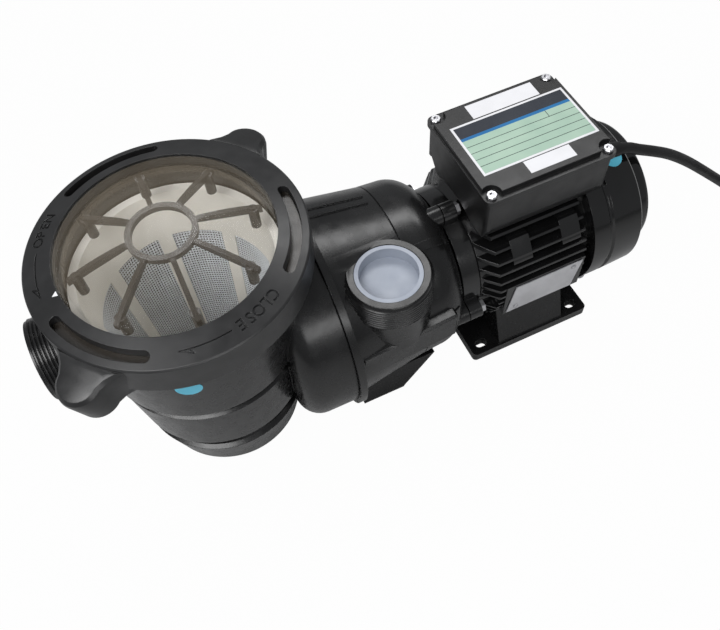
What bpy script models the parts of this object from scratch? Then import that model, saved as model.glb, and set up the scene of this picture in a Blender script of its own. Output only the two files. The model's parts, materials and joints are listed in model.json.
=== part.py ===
"""An above-ground pool pump: a strainer pot with a clear locking lid, a volute casing and a fan-cooled motor.

Units are metres and +Z is up. The origin is the centre of the motor foot's underside. The shaft runs along X,
the pot is at the -X end, and the discharge port stands on the -Y side, which is called the near side below.
"""

import math

import bmesh
import bpy
from mathutils import Matrix
from mathutils import Vector

# Clearances
SEAT_GAP = 0.0003
RUN_GAP = 0.0005
SCREW_GAP = 0.0004

# Facets round a full turn, for large, middling and small round pieces
FINE_STEPS = 32
STEPS = 24
SMALL_STEPS = 12
PIN_STEPS = 8

# Shaft line and stations along it
SHAFT_Z = 0.1074
HOUSING_FRONT_X = -0.062
HOUSING_LENGTH = 0.100
BRACKET_LENGTH = 0.0160
CASING_LENGTH = 0.1146
POT_REACH = 0.0964
BRACKET_REAR_X = HOUSING_FRONT_X - SEAT_GAP
CASING_REAR_X = BRACKET_REAR_X - BRACKET_LENGTH
FLANGE_X = CASING_REAR_X - CASING_LENGTH
POT_X = FLANGE_X - POT_REACH
HOUSING_REAR_X = HOUSING_FRONT_X + HOUSING_LENGTH

# Locking ring
RING_R = 0.100
RING_WALL = 0.0038
RING_LIP_W = 0.0220
RING_EDGE_T = 0.0040
RING_LIP_T = 0.0099
RING_SKIRT = 0.0213
RING_EDGE_ROUND = 0.0012
RING_SKIRT_R = RING_R - RING_WALL
RING_INNER_R = RING_R - RING_LIP_W
SLOT_COUNT = 3
SLOT_INSET = 0.0100
SLOT_W = 0.0080
SLOT_SPAN = math.radians(44.6)
SLOT_FIRST = math.radians(101.5)
LUG_ANGLE = math.radians(41.5)
LUG_REACH = 0.0295
LUG_ROOT_W = 0.0560
LUG_TIP_W = 0.0330
LUG_H = 0.0320
LUG_ROUND = 0.0080
LUG_TILT = math.radians(14)

# Clear lid
LID_FLANGE_T = 0.0042
LID_FLANGE_GAP = 0.0027
LID_WALL = 0.0040
LID_CROWN = 0.0150
LID_SHOULDER = 0.0030
LID_RIBS = 8
LID_RIB_W = 0.0036
LID_RIB_H = 0.0050
LID_HUB_H = 0.0062
LID_HUB_R = 0.0250
LID_HUB_WALL = 0.0042
LID_POST_R = 0.0640
LID_POST_RADIUS = 0.0038
LID_POST_LENGTH = 0.0150

# Strainer pot, from the top down; each tier starts with a groove
RING_CLEARANCE = 0.0015
POT_RIM_R = RING_SKIRT_R - RING_CLEARANCE
POT_RIM_Z = 0.2395
POT_RIM_H = 0.0140
POT_TOP_INSET = 0.0067
LID_GROOVE_INSET = 0.0077
MOUTH_INSET = 0.0152
LEDGE_DROP = 0.0205
LEDGE_W = 0.0040
POT_TAPER = 0.0065
TIER_1_LOW_Z = 0.1385
TIER_2_TOP_Z = 0.1300
TIER_2_TAPER = 0.0075
TIER_2_LOW_Z = 0.0680
CUP_TOP_Z = 0.0520
CUP_TAPER = 0.0075
POT_BASE_Z = 0.0080
GROOVE_SETBACK = 0.0020
TIER_ROUND = 0.0040
POT_WALL = 0.0060
POT_FLOOR_T = 0.0060
ORING_RADIUS = 0.0015
POT_TOP_R = POT_RIM_R - POT_TOP_INSET
POT_MOUTH_R = POT_RIM_R - MOUTH_INSET
LID_GROOVE_R = POT_RIM_R - LID_GROOVE_INSET
TIER_1_R = POT_TOP_R - POT_TAPER
TIER_2_TOP_R = TIER_1_R - GROOVE_SETBACK
TIER_2_R = TIER_1_R - TIER_2_TAPER
CUP_R = TIER_2_R - GROOVE_SETBACK
CUP_LOW_R = CUP_R - CUP_TAPER

# Inlet stub, front half of the drum, and the drain
INLET_Z = 0.1750
INLET_REACH = 0.1170
INLET_R = 0.0325
INLET_BORE_R = 0.0262
INLET_COLLAR_R = 0.0355
INLET_COLLAR_REACH = 0.0930
DRUM_INSET = 0.0027
DRUM_DEPTH = 0.0460
DRUM_ROUND = 0.0200
DRUM_POCKET_IN_R = 0.0340
DRUM_POCKET_OUT_R = 0.0740
DRUM_POCKET_DEPTH = 0.0190
SUCTION_R = 0.0260
CASING_GROOVE_INSET = 0.0110
DRAIN_Z = 0.0360
DRAIN_R = 0.0080
DRAIN_BOSS_R = 0.0130
DRAIN_BOSS_PROUD = 0.0060
DRAIN_GASKET_T = 0.0015
DRAIN_HEAD_R = 0.0125
DRAIN_HEAD_T = 0.0090
DRAIN_SHANK = 0.0150
DRUM_R = POT_RIM_R - DRUM_INSET
CASING_GROOVE_R = DRUM_R - CASING_GROOVE_INSET
DRAIN_BOSS_REACH = CUP_R + DRAIN_BOSS_PROUD

# Basket
BASKET_RIM_GAP = 0.0012
BASKET_RIM_T = 0.0030
BASKET_SIDE_GAP = 0.0015
BASKET_FLOOR_GAP = 0.0200
BASKET_TAPER = 0.0180
BASKET_WALL = 0.0022
WINDOWS = 8
WINDOW_SLOTS = 4
WINDOW_SLOT_W = 0.0046
WINDOW_SLOT_PITCH = math.radians(8.2)
WINDOW_TOP_DROP = 0.0420
WINDOW_FOOT_RISE = 0.0140
BASE_SLOTS = 8
BASE_SLOT_W = 0.0060
BASE_SLOT_IN = 0.0160
BASE_SLOT_OUT = 0.0500

# Volute casing and its discharge port, placed from the front flange
CASING_LIP_PROUD = 0.0040
CASING_LIP_T = 0.0060
CASING_STEP = 0.0080
CASING_MID_R = 0.0785
CASING_REAR_R = 0.0775
CASING_SHOULDER = 0.0280
CASING_SEAM_AT = 0.0703
CASING_SEAM_W = 0.0012
CHAMBER_R = 0.0700
REAR_WALL = 0.0183
REAR_BORE_R = 0.0460
PORT_AT = 0.0476
PORT_Y = -0.0517
PORT_TOP_Z = 0.1859
PORT_RIM_R = 0.0334
PORT_THREAD_R = 0.0350
PORT_RIM_H = 0.0030
PORT_THREAD_H = 0.0240
PORT_BORE_R = 0.0270
PORT_FOOT_Z = 0.1240
THROAT_R = 0.0200
THROAT_FOOT_Z = 0.1200
SADDLE_AT = 0.0079
SADDLE_LENGTH = 0.0880
SADDLE_FRONT_Y = -0.0860
SADDLE_REAR_Y = -0.0812
SADDLE_TOP_Z = 0.1325
SADDLE_FOOT_Z = 0.1030
SADDLE_BEVEL = 0.0020
FRONT_FOOT_AT = 0.0359
FRONT_FOOT_HALF_X = 0.0210
FRONT_FOOT_HALF_Y = 0.0600
FRONT_FOOT_TOP_HALF_Y = 0.0480
FRONT_FOOT_H = 0.0600
CASING_LIP_R = DRUM_R + CASING_LIP_PROUD
CASING_FRONT_R = CASING_LIP_R - CASING_STEP
CASING_SEAM_X = FLANGE_X + CASING_SEAM_AT
PORT_X = FLANGE_X + PORT_AT
SADDLE_FRONT_X = FLANGE_X + SADDLE_AT
SADDLE_REAR_X = SADDLE_FRONT_X + SADDLE_LENGTH
FRONT_FOOT_X = FLANGE_X + FRONT_FOOT_AT

# Transit cap in the port
CAP_DROP = 0.0005
CAP_H = 0.0180
CAP_DEPTH = 0.0115
CAP_WALL = 0.0033

# Hydraulics, placed from the front flange
DIFFUSER_R = 0.0620
DIFFUSER_WALL = 0.0035
DIFFUSER_AT = 0.0309
DIFFUSER_SNOUT = 0.0400
DIFFUSER_SNOUT_WALL = 0.0032
DIFFUSER_SLOTS = 6
DIFFUSER_SLOT_W = 0.0220
IMPELLER_R = 0.0520
IMPELLER_SETBACK = 0.0075
IMPELLER_W = 0.0225
SHROUD_T = 0.0025
EYE_R = 0.0195
EYE_COLLAR = 0.0080
EYE_COLLAR_T = 0.0022
VANES = 6
VANE_T = 0.0022
VANE_SWEEP = math.radians(75)
VANE_POINTS = 5
HUB_R = 0.0115
HUB_NOSE = 0.0035
SEAL_PLATE_T = 0.0042
SEAL_PLATE_R = 0.0660
SEAL_SEAT_R = 0.0137
SEAL_SEAT_T = 0.0045
SEAL_SEAT_BORE_R = 0.0075
SEAL_HEAD_R = 0.0125
SEAL_HEAD_LENGTH = 0.0163
DIFFUSER_FRONT_X = FLANGE_X + DIFFUSER_AT
IMPELLER_FRONT_X = DIFFUSER_FRONT_X + IMPELLER_SETBACK
IMPELLER_BACK_X = IMPELLER_FRONT_X + IMPELLER_W
SEAL_PLATE_REAR_X = CASING_REAR_X - REAR_WALL - SEAT_GAP
SEAL_PLATE_FRONT_X = SEAL_PLATE_REAR_X - SEAL_PLATE_T
HUB_FRONT_X = IMPELLER_FRONT_X - HUB_NOSE
HUB_REAR_X = SEAL_PLATE_FRONT_X - SEAL_HEAD_LENGTH - 2 * SEAT_GAP

# Bearings, bracket and rear shield
BEARING_R = 0.0175
BEARING_W = 0.0110
FRONT_BEARING_INSET = 0.0062
REAR_BEARING_INSET = 0.0033
BRACKET_R = 0.0580
SPIGOT_LENGTH = 0.0060
SHIELD_HUB_R = 0.0230
SHIELD_NECK_R = 0.0570
SHIELD_NECK_LENGTH = 0.0060
SHIELD_FLANGE_T = 0.0060
FRONT_BEARING_X = BRACKET_REAR_X - FRONT_BEARING_INSET
REAR_BEARING_X = HOUSING_REAR_X - REAR_BEARING_INSET

# Shaft and rotor
SHAFT_NOSE_INSET = 0.0080
SHAFT_TAIL = 0.0440
SHAFT_NOSE_R = 0.0060
SHAFT_BEARING_R = 0.0075
SHAFT_ROTOR_R = 0.0100
SHAFT_FAN_R = 0.0060
SHAFT_HOLE_R = 0.0090
ROTOR_R = 0.0295
ROTOR_FRONT_SETBACK = 0.0270
ROTOR_REAR_SETBACK = 0.0180
STATOR_R = 0.0537
WINDING_LENGTH = 0.0115
WINDING_IN_R = 0.0340
WINDING_OUT_R = 0.0500
WINDING_ROUND = 0.0035
SHAFT_FRONT_X = HUB_FRONT_X + SHAFT_NOSE_INSET
SHAFT_REAR_X = HOUSING_REAR_X + SHAFT_TAIL
ROTOR_FRONT_X = HOUSING_FRONT_X + ROTOR_FRONT_SETBACK
ROTOR_REAR_X = HOUSING_REAR_X - ROTOR_REAR_SETBACK

# Bolts that hold the bracket to the casing
BOLTS = 4
BOLT_FIRST = math.radians(8)
BOLT_PITCH_R = 0.0640
EAR_R = 0.0085
EAR_LENGTH = 0.0120
BOLT_R = 0.0028
BOLT_HEAD_R = 0.0058
BOLT_HEAD_T = 0.0042
BOLT_DEPTH = 0.0140

# Finned housing
HOUSING_R = 0.0580
FIN_R = 0.0700
FIN_PITCH = 0.0090
FIN_T = 0.0026
FIN_ROWS = 6
FIN_CHAMFER = 0.0130
FIN_REAR_SETBACK = 0.0030
PAD_HALF_W = 0.0280
FRONT_PAD_SETBACK = 0.0360
REAR_PAD_SETBACK = 0.0170
LUG_PAD_HALF_X = 0.0090
LUG_PAD_Y = 0.0620
LUG_PAD_LOW_Z = 0.1385
LUG_PAD_HIGH_Z = 0.1570
LUG_PAD_X = (HOUSING_FRONT_X + FRONT_PAD_SETBACK, HOUSING_REAR_X - REAR_PAD_SETBACK)

# Rating plate, left bare
PLATE_OFFSET = 0.0070
PLATE_Z = 0.0995
PLATE_LENGTH = 0.0660
PLATE_H = 0.0350
PLATE_SKEW = 0.0030
PLATE_T = 0.0008
PLATE_PAD_PROUD = 0.0003
PLATE_PAD_MARGIN = 0.0025
PLATE_X = (HOUSING_FRONT_X + HOUSING_REAR_X) / 2 + PLATE_OFFSET
PLATE_Y = FIN_R + PLATE_PAD_PROUD
RIVET_INSET = 0.0055
RIVET_R = 0.0024
RIVET_SHANK_R = 0.0012
RIVET_LENGTH = 0.0050
RIVET_HEAD_T = 0.0012

# Fan and its cover, placed from the rear of the housing
FAN_COVER_SETBACK = 0.0040
FAN_COVER_PROUD = 0.0022
FAN_COVER_TAPER = 0.0010
FAN_COVER_LENGTH = 0.0500
FAN_COVER_EDGE = 0.0020
FAN_COVER_WALL = 0.0020
COVER_CAP_R = 0.0590
COVER_CAP_LENGTH = 0.0175
COVER_CAP_ROUND = 0.0060
GROOVE_FROM_FRONT = 0.0155
GROOVE_W = 0.0050
GROOVE_DEPTH = 0.0016
GRILLE_RINGS = 3
GRILLE_FIRST_R = 0.0180
GRILLE_PITCH = 0.0130
GRILLE_SLOT_W = 0.0070
GRILLE_ARCS = 3
GRILLE_BAR_W = 0.0060
FAN_SETBACK = 0.0200
FAN_LENGTH = 0.0200
FAN_CLEARANCE = 0.0062
FAN_DISC_R = 0.0350
FAN_DISC_T = 0.0030
FAN_HUB_R = 0.0120
FAN_BLADES = 8
FAN_BLADE_T = 0.0025
COVER_SCREW_ANGLES = (math.radians(125), math.radians(235))
COVER_SCREW_FROM_FRONT = 0.0055
COVER_SCREW_HEAD_R = 0.0034
COVER_SCREW_HEAD_T = 0.0020
COVER_SCREW_R = 0.0016
COVER_SCREW_LENGTH = 0.0090
FAN_COVER_R = FIN_R + FAN_COVER_PROUD
FAN_COVER_REAR_R = FAN_COVER_R - FAN_COVER_TAPER
FAN_R = FAN_COVER_R - FAN_COVER_WALL - FAN_CLEARANCE
FAN_FRONT_X = HOUSING_REAR_X + FAN_SETBACK
FAN_COVER_FRONT_X = HOUSING_REAR_X + FAN_COVER_SETBACK
FAN_COVER_EDGE_X = FAN_COVER_FRONT_X + FAN_COVER_LENGTH
FAN_COVER_REAR_X = FAN_COVER_EDGE_X + COVER_CAP_LENGTH

# Motor foot
FOOT_HALF_X = 0.0630
FOOT_HALF_Y = 0.0660
FOOT_FLANGE_T = 0.0100
FOOT_CORNER = 0.0040
PEDESTAL_HALF_X = 0.0350
PEDESTAL_TOP_Z = 0.0560
PEDESTAL_TOP_HALF_Y = 0.0478
FOOT_SLOT_X = 0.0505
FOOT_SLOT_Y = 0.0555
FOOT_SLOT_W = 0.0080
FOOT_SLOT_LENGTH = 0.0120
FOOT_WEB = 0.0080
FOOT_WALL = 0.0060
FOOT_POCKET_H = 0.0260

# Terminal box
BOX_FRONT_X = -0.0600
BOX_REAR_X = 0.0520
BOX_HALF_Y = 0.0490
BOX_LOW_HALF_Y = 0.0450
BOX_SKIRT = 0.0054
BOX_FLOOR_T = 0.0066
BOX_H = 0.0405
BOX_CUT_Y = 0.0300
BOX_CUT_RISE = 0.0200
BOX_WALL = 0.0028
BOX_CORNER = 0.0050
GASKET_T = 0.0010
GASKET_INSET = 0.0010
GASKET_W = 0.0050
LID_OVERHANG = 0.0020
BOX_LID_RIM_T = 0.0044
BOX_LID_TOP_T = 0.0045
BOX_LID_INSET_X = 0.0015
BOX_LID_INSET_Y = 0.0047
BOX_LID_WALL = 0.0028
BOX_LID_CORNER = 0.0060
BOX_SCREW_INSET_X = 0.0045
BOX_SCREW_INSET_Y = 0.0042
BOX_SCREW_NOTCH_R = 0.0078
BOX_SCREW_HEAD_R = 0.0044
BOX_SCREW_HEAD_T = 0.0028
BOX_SCREW_R = 0.0017
BOX_SCREW_LENGTH = 0.0150
BOX_SCREW_SOCKET_R = 0.0022
BOX_SCREW_SOCKET_DEPTH = 0.0016
BOX_BOSS_R = 0.0042
BLOCK_X = -0.0050
BLOCK_Y = -0.0210
BLOCK_HALF_X = 0.0260
BLOCK_HALF_Y = 0.0085
BLOCK_H = 0.0150
BLOCK_WAYS = 4
BLOCK_SLOT_W = 0.0060
BLOCK_SLOT_DEPTH = 0.0070
CAPACITOR_R = 0.0135
CAPACITOR_LENGTH = 0.0760
CAPACITOR_Y = 0.0220
CAPACITOR_ROUND = 0.0025

# Cord and what is on it
CORD_R = 0.0048
CORD_Y = -0.0280
GLAND_RISE = 0.0210
GLAND_FLANGE_R = 0.0090
GLAND_FLANGE_T = 0.0040
GLAND_SHANK_R = 0.0070
GLAND_SHANK_LENGTH = 0.0060
BOOT_LENGTH = 0.0200
BOOT_ROOT_R = 0.0072
BOOT_TIP_R = 0.0060
BOOT_BEND = math.radians(15)
BOOT_STEPS = 4
CORD_ROUTE_XZ = (
    (0.0900, 0.1848), (0.0985, 0.1792), (0.1185, 0.1672), (0.1400, 0.1530), (0.1650, 0.1325), (0.1933, 0.1062),
    (0.2290, 0.0717), (0.2560, 0.0450), (0.2830, 0.0235), (0.3100, 0.0104), (0.3300, 0.0069),
)
CORD_STEP = 0.0090
COIL_X = 0.3560
COIL_CORE_R = 0.0395
COIL_TURNS = 4.5
COIL_GAP = 0.0007
COIL_POINTS = 24
COIL_TAIL = 0.0430
TIE_T = 0.0012
TIE_W = 0.0080
TIE_GAP = 0.0006
TIE_CORNER = 0.0040
PLUG_NECK = 0.0180
PLUG_BODY = 0.0280
PLUG_HALF_W = 0.0165
PLUG_HALF_H = 0.0150
PLUG_CORNER = 0.0070
PLUG_NECK_R = 0.0070
PIN_LENGTH = 0.0170
PIN_W = 0.0063
PIN_T = 0.0016
PIN_SPREAD = 0.0069
PIN_TILT = math.radians(30)
EARTH_PIN_DROP = 0.0080
PIN_RISE = 0.0040
PIN_ROOT = 0.0040

# Heights and places that follow from the sizes above
RING_SEAT_Z = POT_RIM_Z + SEAT_GAP + LID_FLANGE_T + SEAT_GAP
RING_EDGE_Z = RING_SEAT_Z + RING_EDGE_T
RING_INNER_Z = RING_SEAT_Z + RING_LIP_T
RING_LOW_Z = RING_SEAT_Z - RING_SKIRT
LID_LOW_Z = POT_RIM_Z + SEAT_GAP
LEDGE_Z = POT_RIM_Z - LEDGE_DROP
BASKET_DEPTH = LEDGE_Z - POT_BASE_Z - POT_FLOOR_T - BASKET_FLOOR_GAP
POT_INNER_R = POT_MOUTH_R - LEDGE_W
GROOVE_HALF = ORING_RADIUS + SEAT_GAP
SHIELD_FRONT_X = HOUSING_REAR_X + SEAT_GAP
SHIELD_FLANGE_X = SHIELD_FRONT_X + SHIELD_NECK_LENGTH
SHIELD_R = FAN_COVER_R - FAN_COVER_WALL - SEAT_GAP
CAP_TOP_Z = PORT_TOP_Z - CAP_DROP
PORT_STEP_Z = CAP_TOP_Z - CAP_H - SEAT_GAP
BOX_LOW_Z = SHAFT_Z + FIN_R - BOX_SKIRT
BOX_FLOOR_Z = SHAFT_Z + FIN_R + BOX_FLOOR_T
BOX_CUT_Z = BOX_LOW_Z + BOX_CUT_RISE
BOX_TOP_Z = BOX_LOW_Z + BOX_H
GLAND_Z = BOX_LOW_Z + GLAND_RISE
BOX_LID_LOW_Z = BOX_TOP_Z + SEAT_GAP + GASKET_T + SEAT_GAP
BOX_LID_RIM_Z = BOX_LID_LOW_Z + BOX_LID_RIM_T
BOX_LID_TOP_Z = BOX_LID_RIM_Z + BOX_LID_TOP_T
GLAND_X = BOX_REAR_X + SEAT_GAP
BOOT_X = GLAND_X + GLAND_FLANGE_T
CORD_D = 2 * CORD_R
COIL_PITCH = CORD_D + COIL_GAP
COIL_LOW_Z = TIE_T + TIE_GAP + CORD_R
COIL_OUT_R = COIL_CORE_R + COIL_PITCH * COIL_TURNS / 2
COIL_Y = CORD_Y - COIL_OUT_R

# Frames whose local Z runs along the shaft, towards the near side, and towards the far side
ALONG_X = Matrix(((0, 0, 1, 0), (1, 0, 0, 0), (0, 1, 0, 0), (0, 0, 0, 1)))
TO_NEAR = Matrix(((1, 0, 0, 0), (0, 0, -1, 0), (0, 1, 0, 0), (0, 0, 0, 1)))
TO_FAR = Matrix(((0, 1, 0, 0), (0, 0, 1, 0), (1, 0, 0, 0), (0, 0, 0, 1)))
SHAFT_FRAME = Matrix.Translation((0, 0, SHAFT_Z)) @ ALONG_X
POT_FRAME = Matrix.Translation((POT_X, 0, 0))


# Modelling helpers

def at(x, y, z):
    return Matrix.Translation((x, y, z))


def about_shaft(angle):
    """A frame on the shaft line whose local X points at this angle from +Z, towards the near side."""
    return SHAFT_FRAME @ Matrix.Rotation(math.pi / 2 + angle, 4, "Z")


def arc(centre_x, centre_y, radius, start, end, count):
    """Points along an arc, its two ends included."""
    angles = [start + (end - start) * i / count for i in range(count + 1)]
    return [(centre_x + radius * math.cos(a), centre_y + radius * math.sin(a)) for a in angles]


def rounded_rectangle(low_x, high_x, low_y, high_y, radius, count=4):
    corners = (
        (high_x - radius, high_y - radius, 0),
        (low_x + radius, high_y - radius, 1),
        (low_x + radius, low_y + radius, 2),
        (high_x - radius, low_y + radius, 3),
    )
    points = []
    for x, y, quarter in corners:
        points += arc(x, y, radius, quarter * math.pi / 2, (quarter + 1) * math.pi / 2, count)
    return points


def ring_sector(radius, width, middle, span, count=10, ends=4):
    """The outline of an arc-shaped slot with round ends."""
    start = middle - span / 2
    end = middle + span / 2
    half = width / 2
    tail = (radius * math.cos(start), radius * math.sin(start))
    head = (radius * math.cos(end), radius * math.sin(end))
    points = arc(0, 0, radius + half, start, end, count)
    points += arc(*head, half, end, end + math.pi, ends)[1:-1]
    points += arc(0, 0, radius - half, end, start, count)
    points += arc(*tail, half, start + math.pi, start + 2 * math.pi, ends)[1:-1]
    return points


def turned(profile, steps=STEPS):
    """A solid turned about local Z from a closed profile of (radius, height) points, with a flat on local X."""
    mesh = bmesh.new()
    start = math.pi / steps
    verts = [mesh.verts.new((r * math.cos(start), r * math.sin(start), height)) for r, height in profile]
    edges = []
    for first, second in zip(verts, verts[1:] + verts[:1]):
        if first.co.x > 0 or second.co.x > 0:
            edges.append(mesh.edges.new((first, second)))
    bmesh.ops.spin(
        mesh, geom=verts + edges, cent=(0, 0, 0), axis=(0, 0, 1), angle=2 * math.pi, steps=steps, use_merge=True
    )
    bmesh.ops.remove_doubles(mesh, verts=mesh.verts, dist=1e-6)
    flat_middles = []
    for vert in mesh.verts:
        if vert.co.xy.length < 1e-6 and all(e.other_vert(vert).co.z == vert.co.z for e in vert.link_edges):
            flat_middles.append(vert)
    bmesh.ops.dissolve_verts(mesh, verts=flat_middles)
    bmesh.ops.recalc_face_normals(mesh, faces=mesh.faces)
    return mesh


def cylinder(radius, low, high, steps=STEPS):
    return turned([(0, high), (radius, high), (radius, low), (0, low)], steps)


def tube(inner, outer, low, high, steps=STEPS):
    return turned([(inner, high), (outer, high), (outer, low), (inner, low)], steps)


def o_ring(radius, height, section, steps=STEPS, count=6):
    return turned(arc(radius, height, section, 0, 2 * math.pi, count)[:-1], steps)


def extruded(outline, low, high):
    """A solid with this outline in local X and Y, from low to high along local Z."""
    mesh = bmesh.new()
    face = mesh.faces.new([mesh.verts.new((x, y, low)) for x, y in outline])
    grown = bmesh.ops.extrude_face_region(mesh, geom=[face])["geom"]
    raised = [item for item in grown if isinstance(item, bmesh.types.BMVert)]
    bmesh.ops.translate(mesh, vec=(0, 0, high - low), verts=raised)
    bmesh.ops.recalc_face_normals(mesh, faces=mesh.faces)
    return mesh


def block(low, high):
    outline = [(low[0], low[1]), (high[0], low[1]), (high[0], high[1]), (low[0], high[1])]
    return extruded(outline, low[2], high[2])


def hexagon(radius):
    return arc(0, 0, radius, 0, 2 * math.pi, 6)[:-1]


def bevelled(mesh, width, segments=2):
    bmesh.ops.bevel(
        mesh, geom=mesh.edges, offset=width, segments=segments, profile=0.5, affect="EDGES", clamp_overlap=True
    )
    return mesh


def piece(name, mesh, frame=Matrix.Identity(4)):
    """An object from this bmesh, moved into its frame."""
    bmesh.ops.transform(mesh, matrix=frame, verts=mesh.verts)
    data = bpy.data.meshes.new(name)
    mesh.to_mesh(data)
    mesh.free()
    obj = bpy.data.objects.new(name, data)
    bpy.context.scene.collection.objects.link(obj)
    return obj


def combine(body, mesh, frame, operation):
    """Joins the solid in mesh to the body, or cuts or intersects the body with it."""
    tool = piece("tool", mesh, frame)
    modifier = body.modifiers.new(operation, "BOOLEAN")
    modifier.operation = operation
    modifier.solver = "EXACT"
    modifier.object = tool
    graph = bpy.context.evaluated_depsgraph_get()
    result = bpy.data.meshes.new_from_object(body.evaluated_get(graph))
    body.modifiers.clear()
    old = body.data
    body.data = result
    bpy.data.meshes.remove(old)
    data = tool.data
    bpy.data.objects.remove(tool)
    bpy.data.meshes.remove(data)


def join(body, mesh, frame=Matrix.Identity(4)):
    combine(body, mesh, frame, "UNION")


def cut(body, mesh, frame=Matrix.Identity(4)):
    combine(body, mesh, frame, "DIFFERENCE")


def keep(body, mesh, frame=Matrix.Identity(4)):
    combine(body, mesh, frame, "INTERSECT")


def material(name, colour, roughness, metallic=0.0, transmission=0.0):
    made = bpy.data.materials.new(name)
    made.use_nodes = True
    shader = made.node_tree.nodes["Principled BSDF"]
    shader.inputs["Base Color"].default_value = (*colour, 1)
    shader.inputs["Roughness"].default_value = roughness
    shader.inputs["Metallic"].default_value = metallic
    shader.inputs["Transmission Weight"].default_value = transmission
    return made


# Wet end

def lug_mesh():
    """One grip lug of the locking ring, drawn in plan and rounded along its top. Local X points outwards."""
    tip = RING_R + LUG_REACH
    tip_half = LUG_TIP_W / 2
    outline = [(RING_SKIRT_R, -LUG_ROOT_W / 2), (RING_R + LUG_REACH * 0.25, -tip_half * 1.15)]
    outline += arc(tip - tip_half, 0, tip_half, -math.pi / 2, math.pi / 2, 8)
    outline += [(RING_R + LUG_REACH * 0.25, tip_half * 1.15), (RING_SKIRT_R, LUG_ROOT_W / 2)]
    lug = extruded(outline, -LUG_H, 0)
    top_edges = [e for e in lug.edges if all(v.co.z > -LUG_H / 2 for v in e.verts)]
    bmesh.ops.bevel(
        lug, geom=top_edges, offset=LUG_ROUND, segments=3, profile=0.5, affect="EDGES", clamp_overlap=True
    )
    return lug


def make_lock_ring():
    round_low = RING_EDGE_Z - RING_EDGE_ROUND
    profile = [
        (RING_INNER_R, RING_INNER_Z),
        (RING_R - RING_EDGE_ROUND, RING_EDGE_Z),
        (RING_R, round_low),
        (RING_R, RING_LOW_Z),
        (RING_SKIRT_R, RING_LOW_Z),
        (RING_SKIRT_R, RING_SEAT_Z),
        (RING_INNER_R, RING_SEAT_Z),
    ]
    ring = piece("lock_ring", turned(profile, FINE_STEPS), POT_FRAME)
    tilt = at(RING_R, 0, round_low) @ Matrix.Rotation(LUG_TILT, 4, "Y") @ at(-RING_R, 0, 0)
    for side in (0, math.pi):
        join(ring, lug_mesh(), POT_FRAME @ Matrix.Rotation(LUG_ANGLE + side, 4, "Z") @ tilt)
    cut(ring, cylinder(RING_SKIRT_R, RING_LOW_Z - LUG_H, RING_SEAT_Z, FINE_STEPS), POT_FRAME)
    for i in range(SLOT_COUNT):
        middle = SLOT_FIRST + i * 2 * math.pi / SLOT_COUNT
        outline = ring_sector(RING_R - SLOT_INSET, SLOT_W, middle, SLOT_SPAN)
        cut(ring, extruded(outline, RING_SEAT_Z - RING_LIP_T, RING_INNER_Z + RING_LIP_T), POT_FRAME)
    return ring


def dome(radius, crown_z, edge_z, count):
    """Profile points of a spherical cap, from its crown on the axis to its edge."""
    rise = crown_z - edge_z
    sphere = (radius * radius + rise * rise) / (2 * rise)
    reach = math.asin(radius / sphere)
    angles = [reach * i / count for i in range(count + 1)]
    return [(sphere * math.sin(a), crown_z - sphere + sphere * math.cos(a)) for a in angles]


def make_clear_lid():
    flange_r = RING_SKIRT_R - LID_FLANGE_GAP
    outer_r = RING_INNER_R - RUN_GAP
    inner_r = outer_r - LID_WALL
    shoulder_z = RING_INNER_Z
    crown_z = shoulder_z + LID_CROWN
    flange_z = LID_LOW_Z + LID_FLANGE_T
    outside = dome(outer_r - LID_SHOULDER, crown_z, shoulder_z, 4)
    inside = dome(inner_r - LID_SHOULDER, crown_z - LID_WALL, shoulder_z - LID_WALL, 4)
    profile = outside + [(outer_r, shoulder_z - LID_SHOULDER), (outer_r, flange_z), (flange_r, flange_z)]
    profile += [(flange_r, LID_LOW_Z), (inner_r, LID_LOW_Z), (inner_r, shoulder_z - LID_WALL - LID_SHOULDER)]
    profile += inside[::-1]
    lid = piece("clear_lid", turned(profile, FINE_STEPS), POT_FRAME)
    hub_z = crown_z - LID_WALL
    hub_in = LID_HUB_R - LID_HUB_WALL
    join(lid, tube(hub_in, LID_HUB_R, hub_z - LID_HUB_H, hub_z + LID_WALL / 4, SMALL_STEPS * 2), POT_FRAME)
    rib_low_z = shoulder_z - LID_WALL
    rib_reach = inner_r - LID_SHOULDER
    rib_root = LID_HUB_R - LID_HUB_WALL / 2
    for i in range(LID_RIBS):
        turn = POT_FRAME @ Matrix.Rotation(i * 2 * math.pi / LID_RIBS, 4, "Z")
        outline = [(rib_root, hub_z - LID_RIB_H), (rib_reach, rib_low_z - LID_RIB_H)]
        outline += [(r, z + LID_WALL / 4) for r, z in inside[::-1] if r > LID_HUB_R]
        outline += [(rib_root, hub_z)]
        join(lid, extruded(outline, -LID_RIB_W / 2, LID_RIB_W / 2), turn @ TO_NEAR)
        post_z = hub_z - (hub_z - rib_low_z) * (LID_POST_R / rib_reach) ** 2
        foot_z = post_z - LID_RIB_H - LID_POST_LENGTH
        post = cylinder(LID_POST_RADIUS, foot_z, post_z + LID_WALL / 4, 6)
        join(lid, post, turn @ at(LID_POST_R, 0, 0))
    return lid


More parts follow.
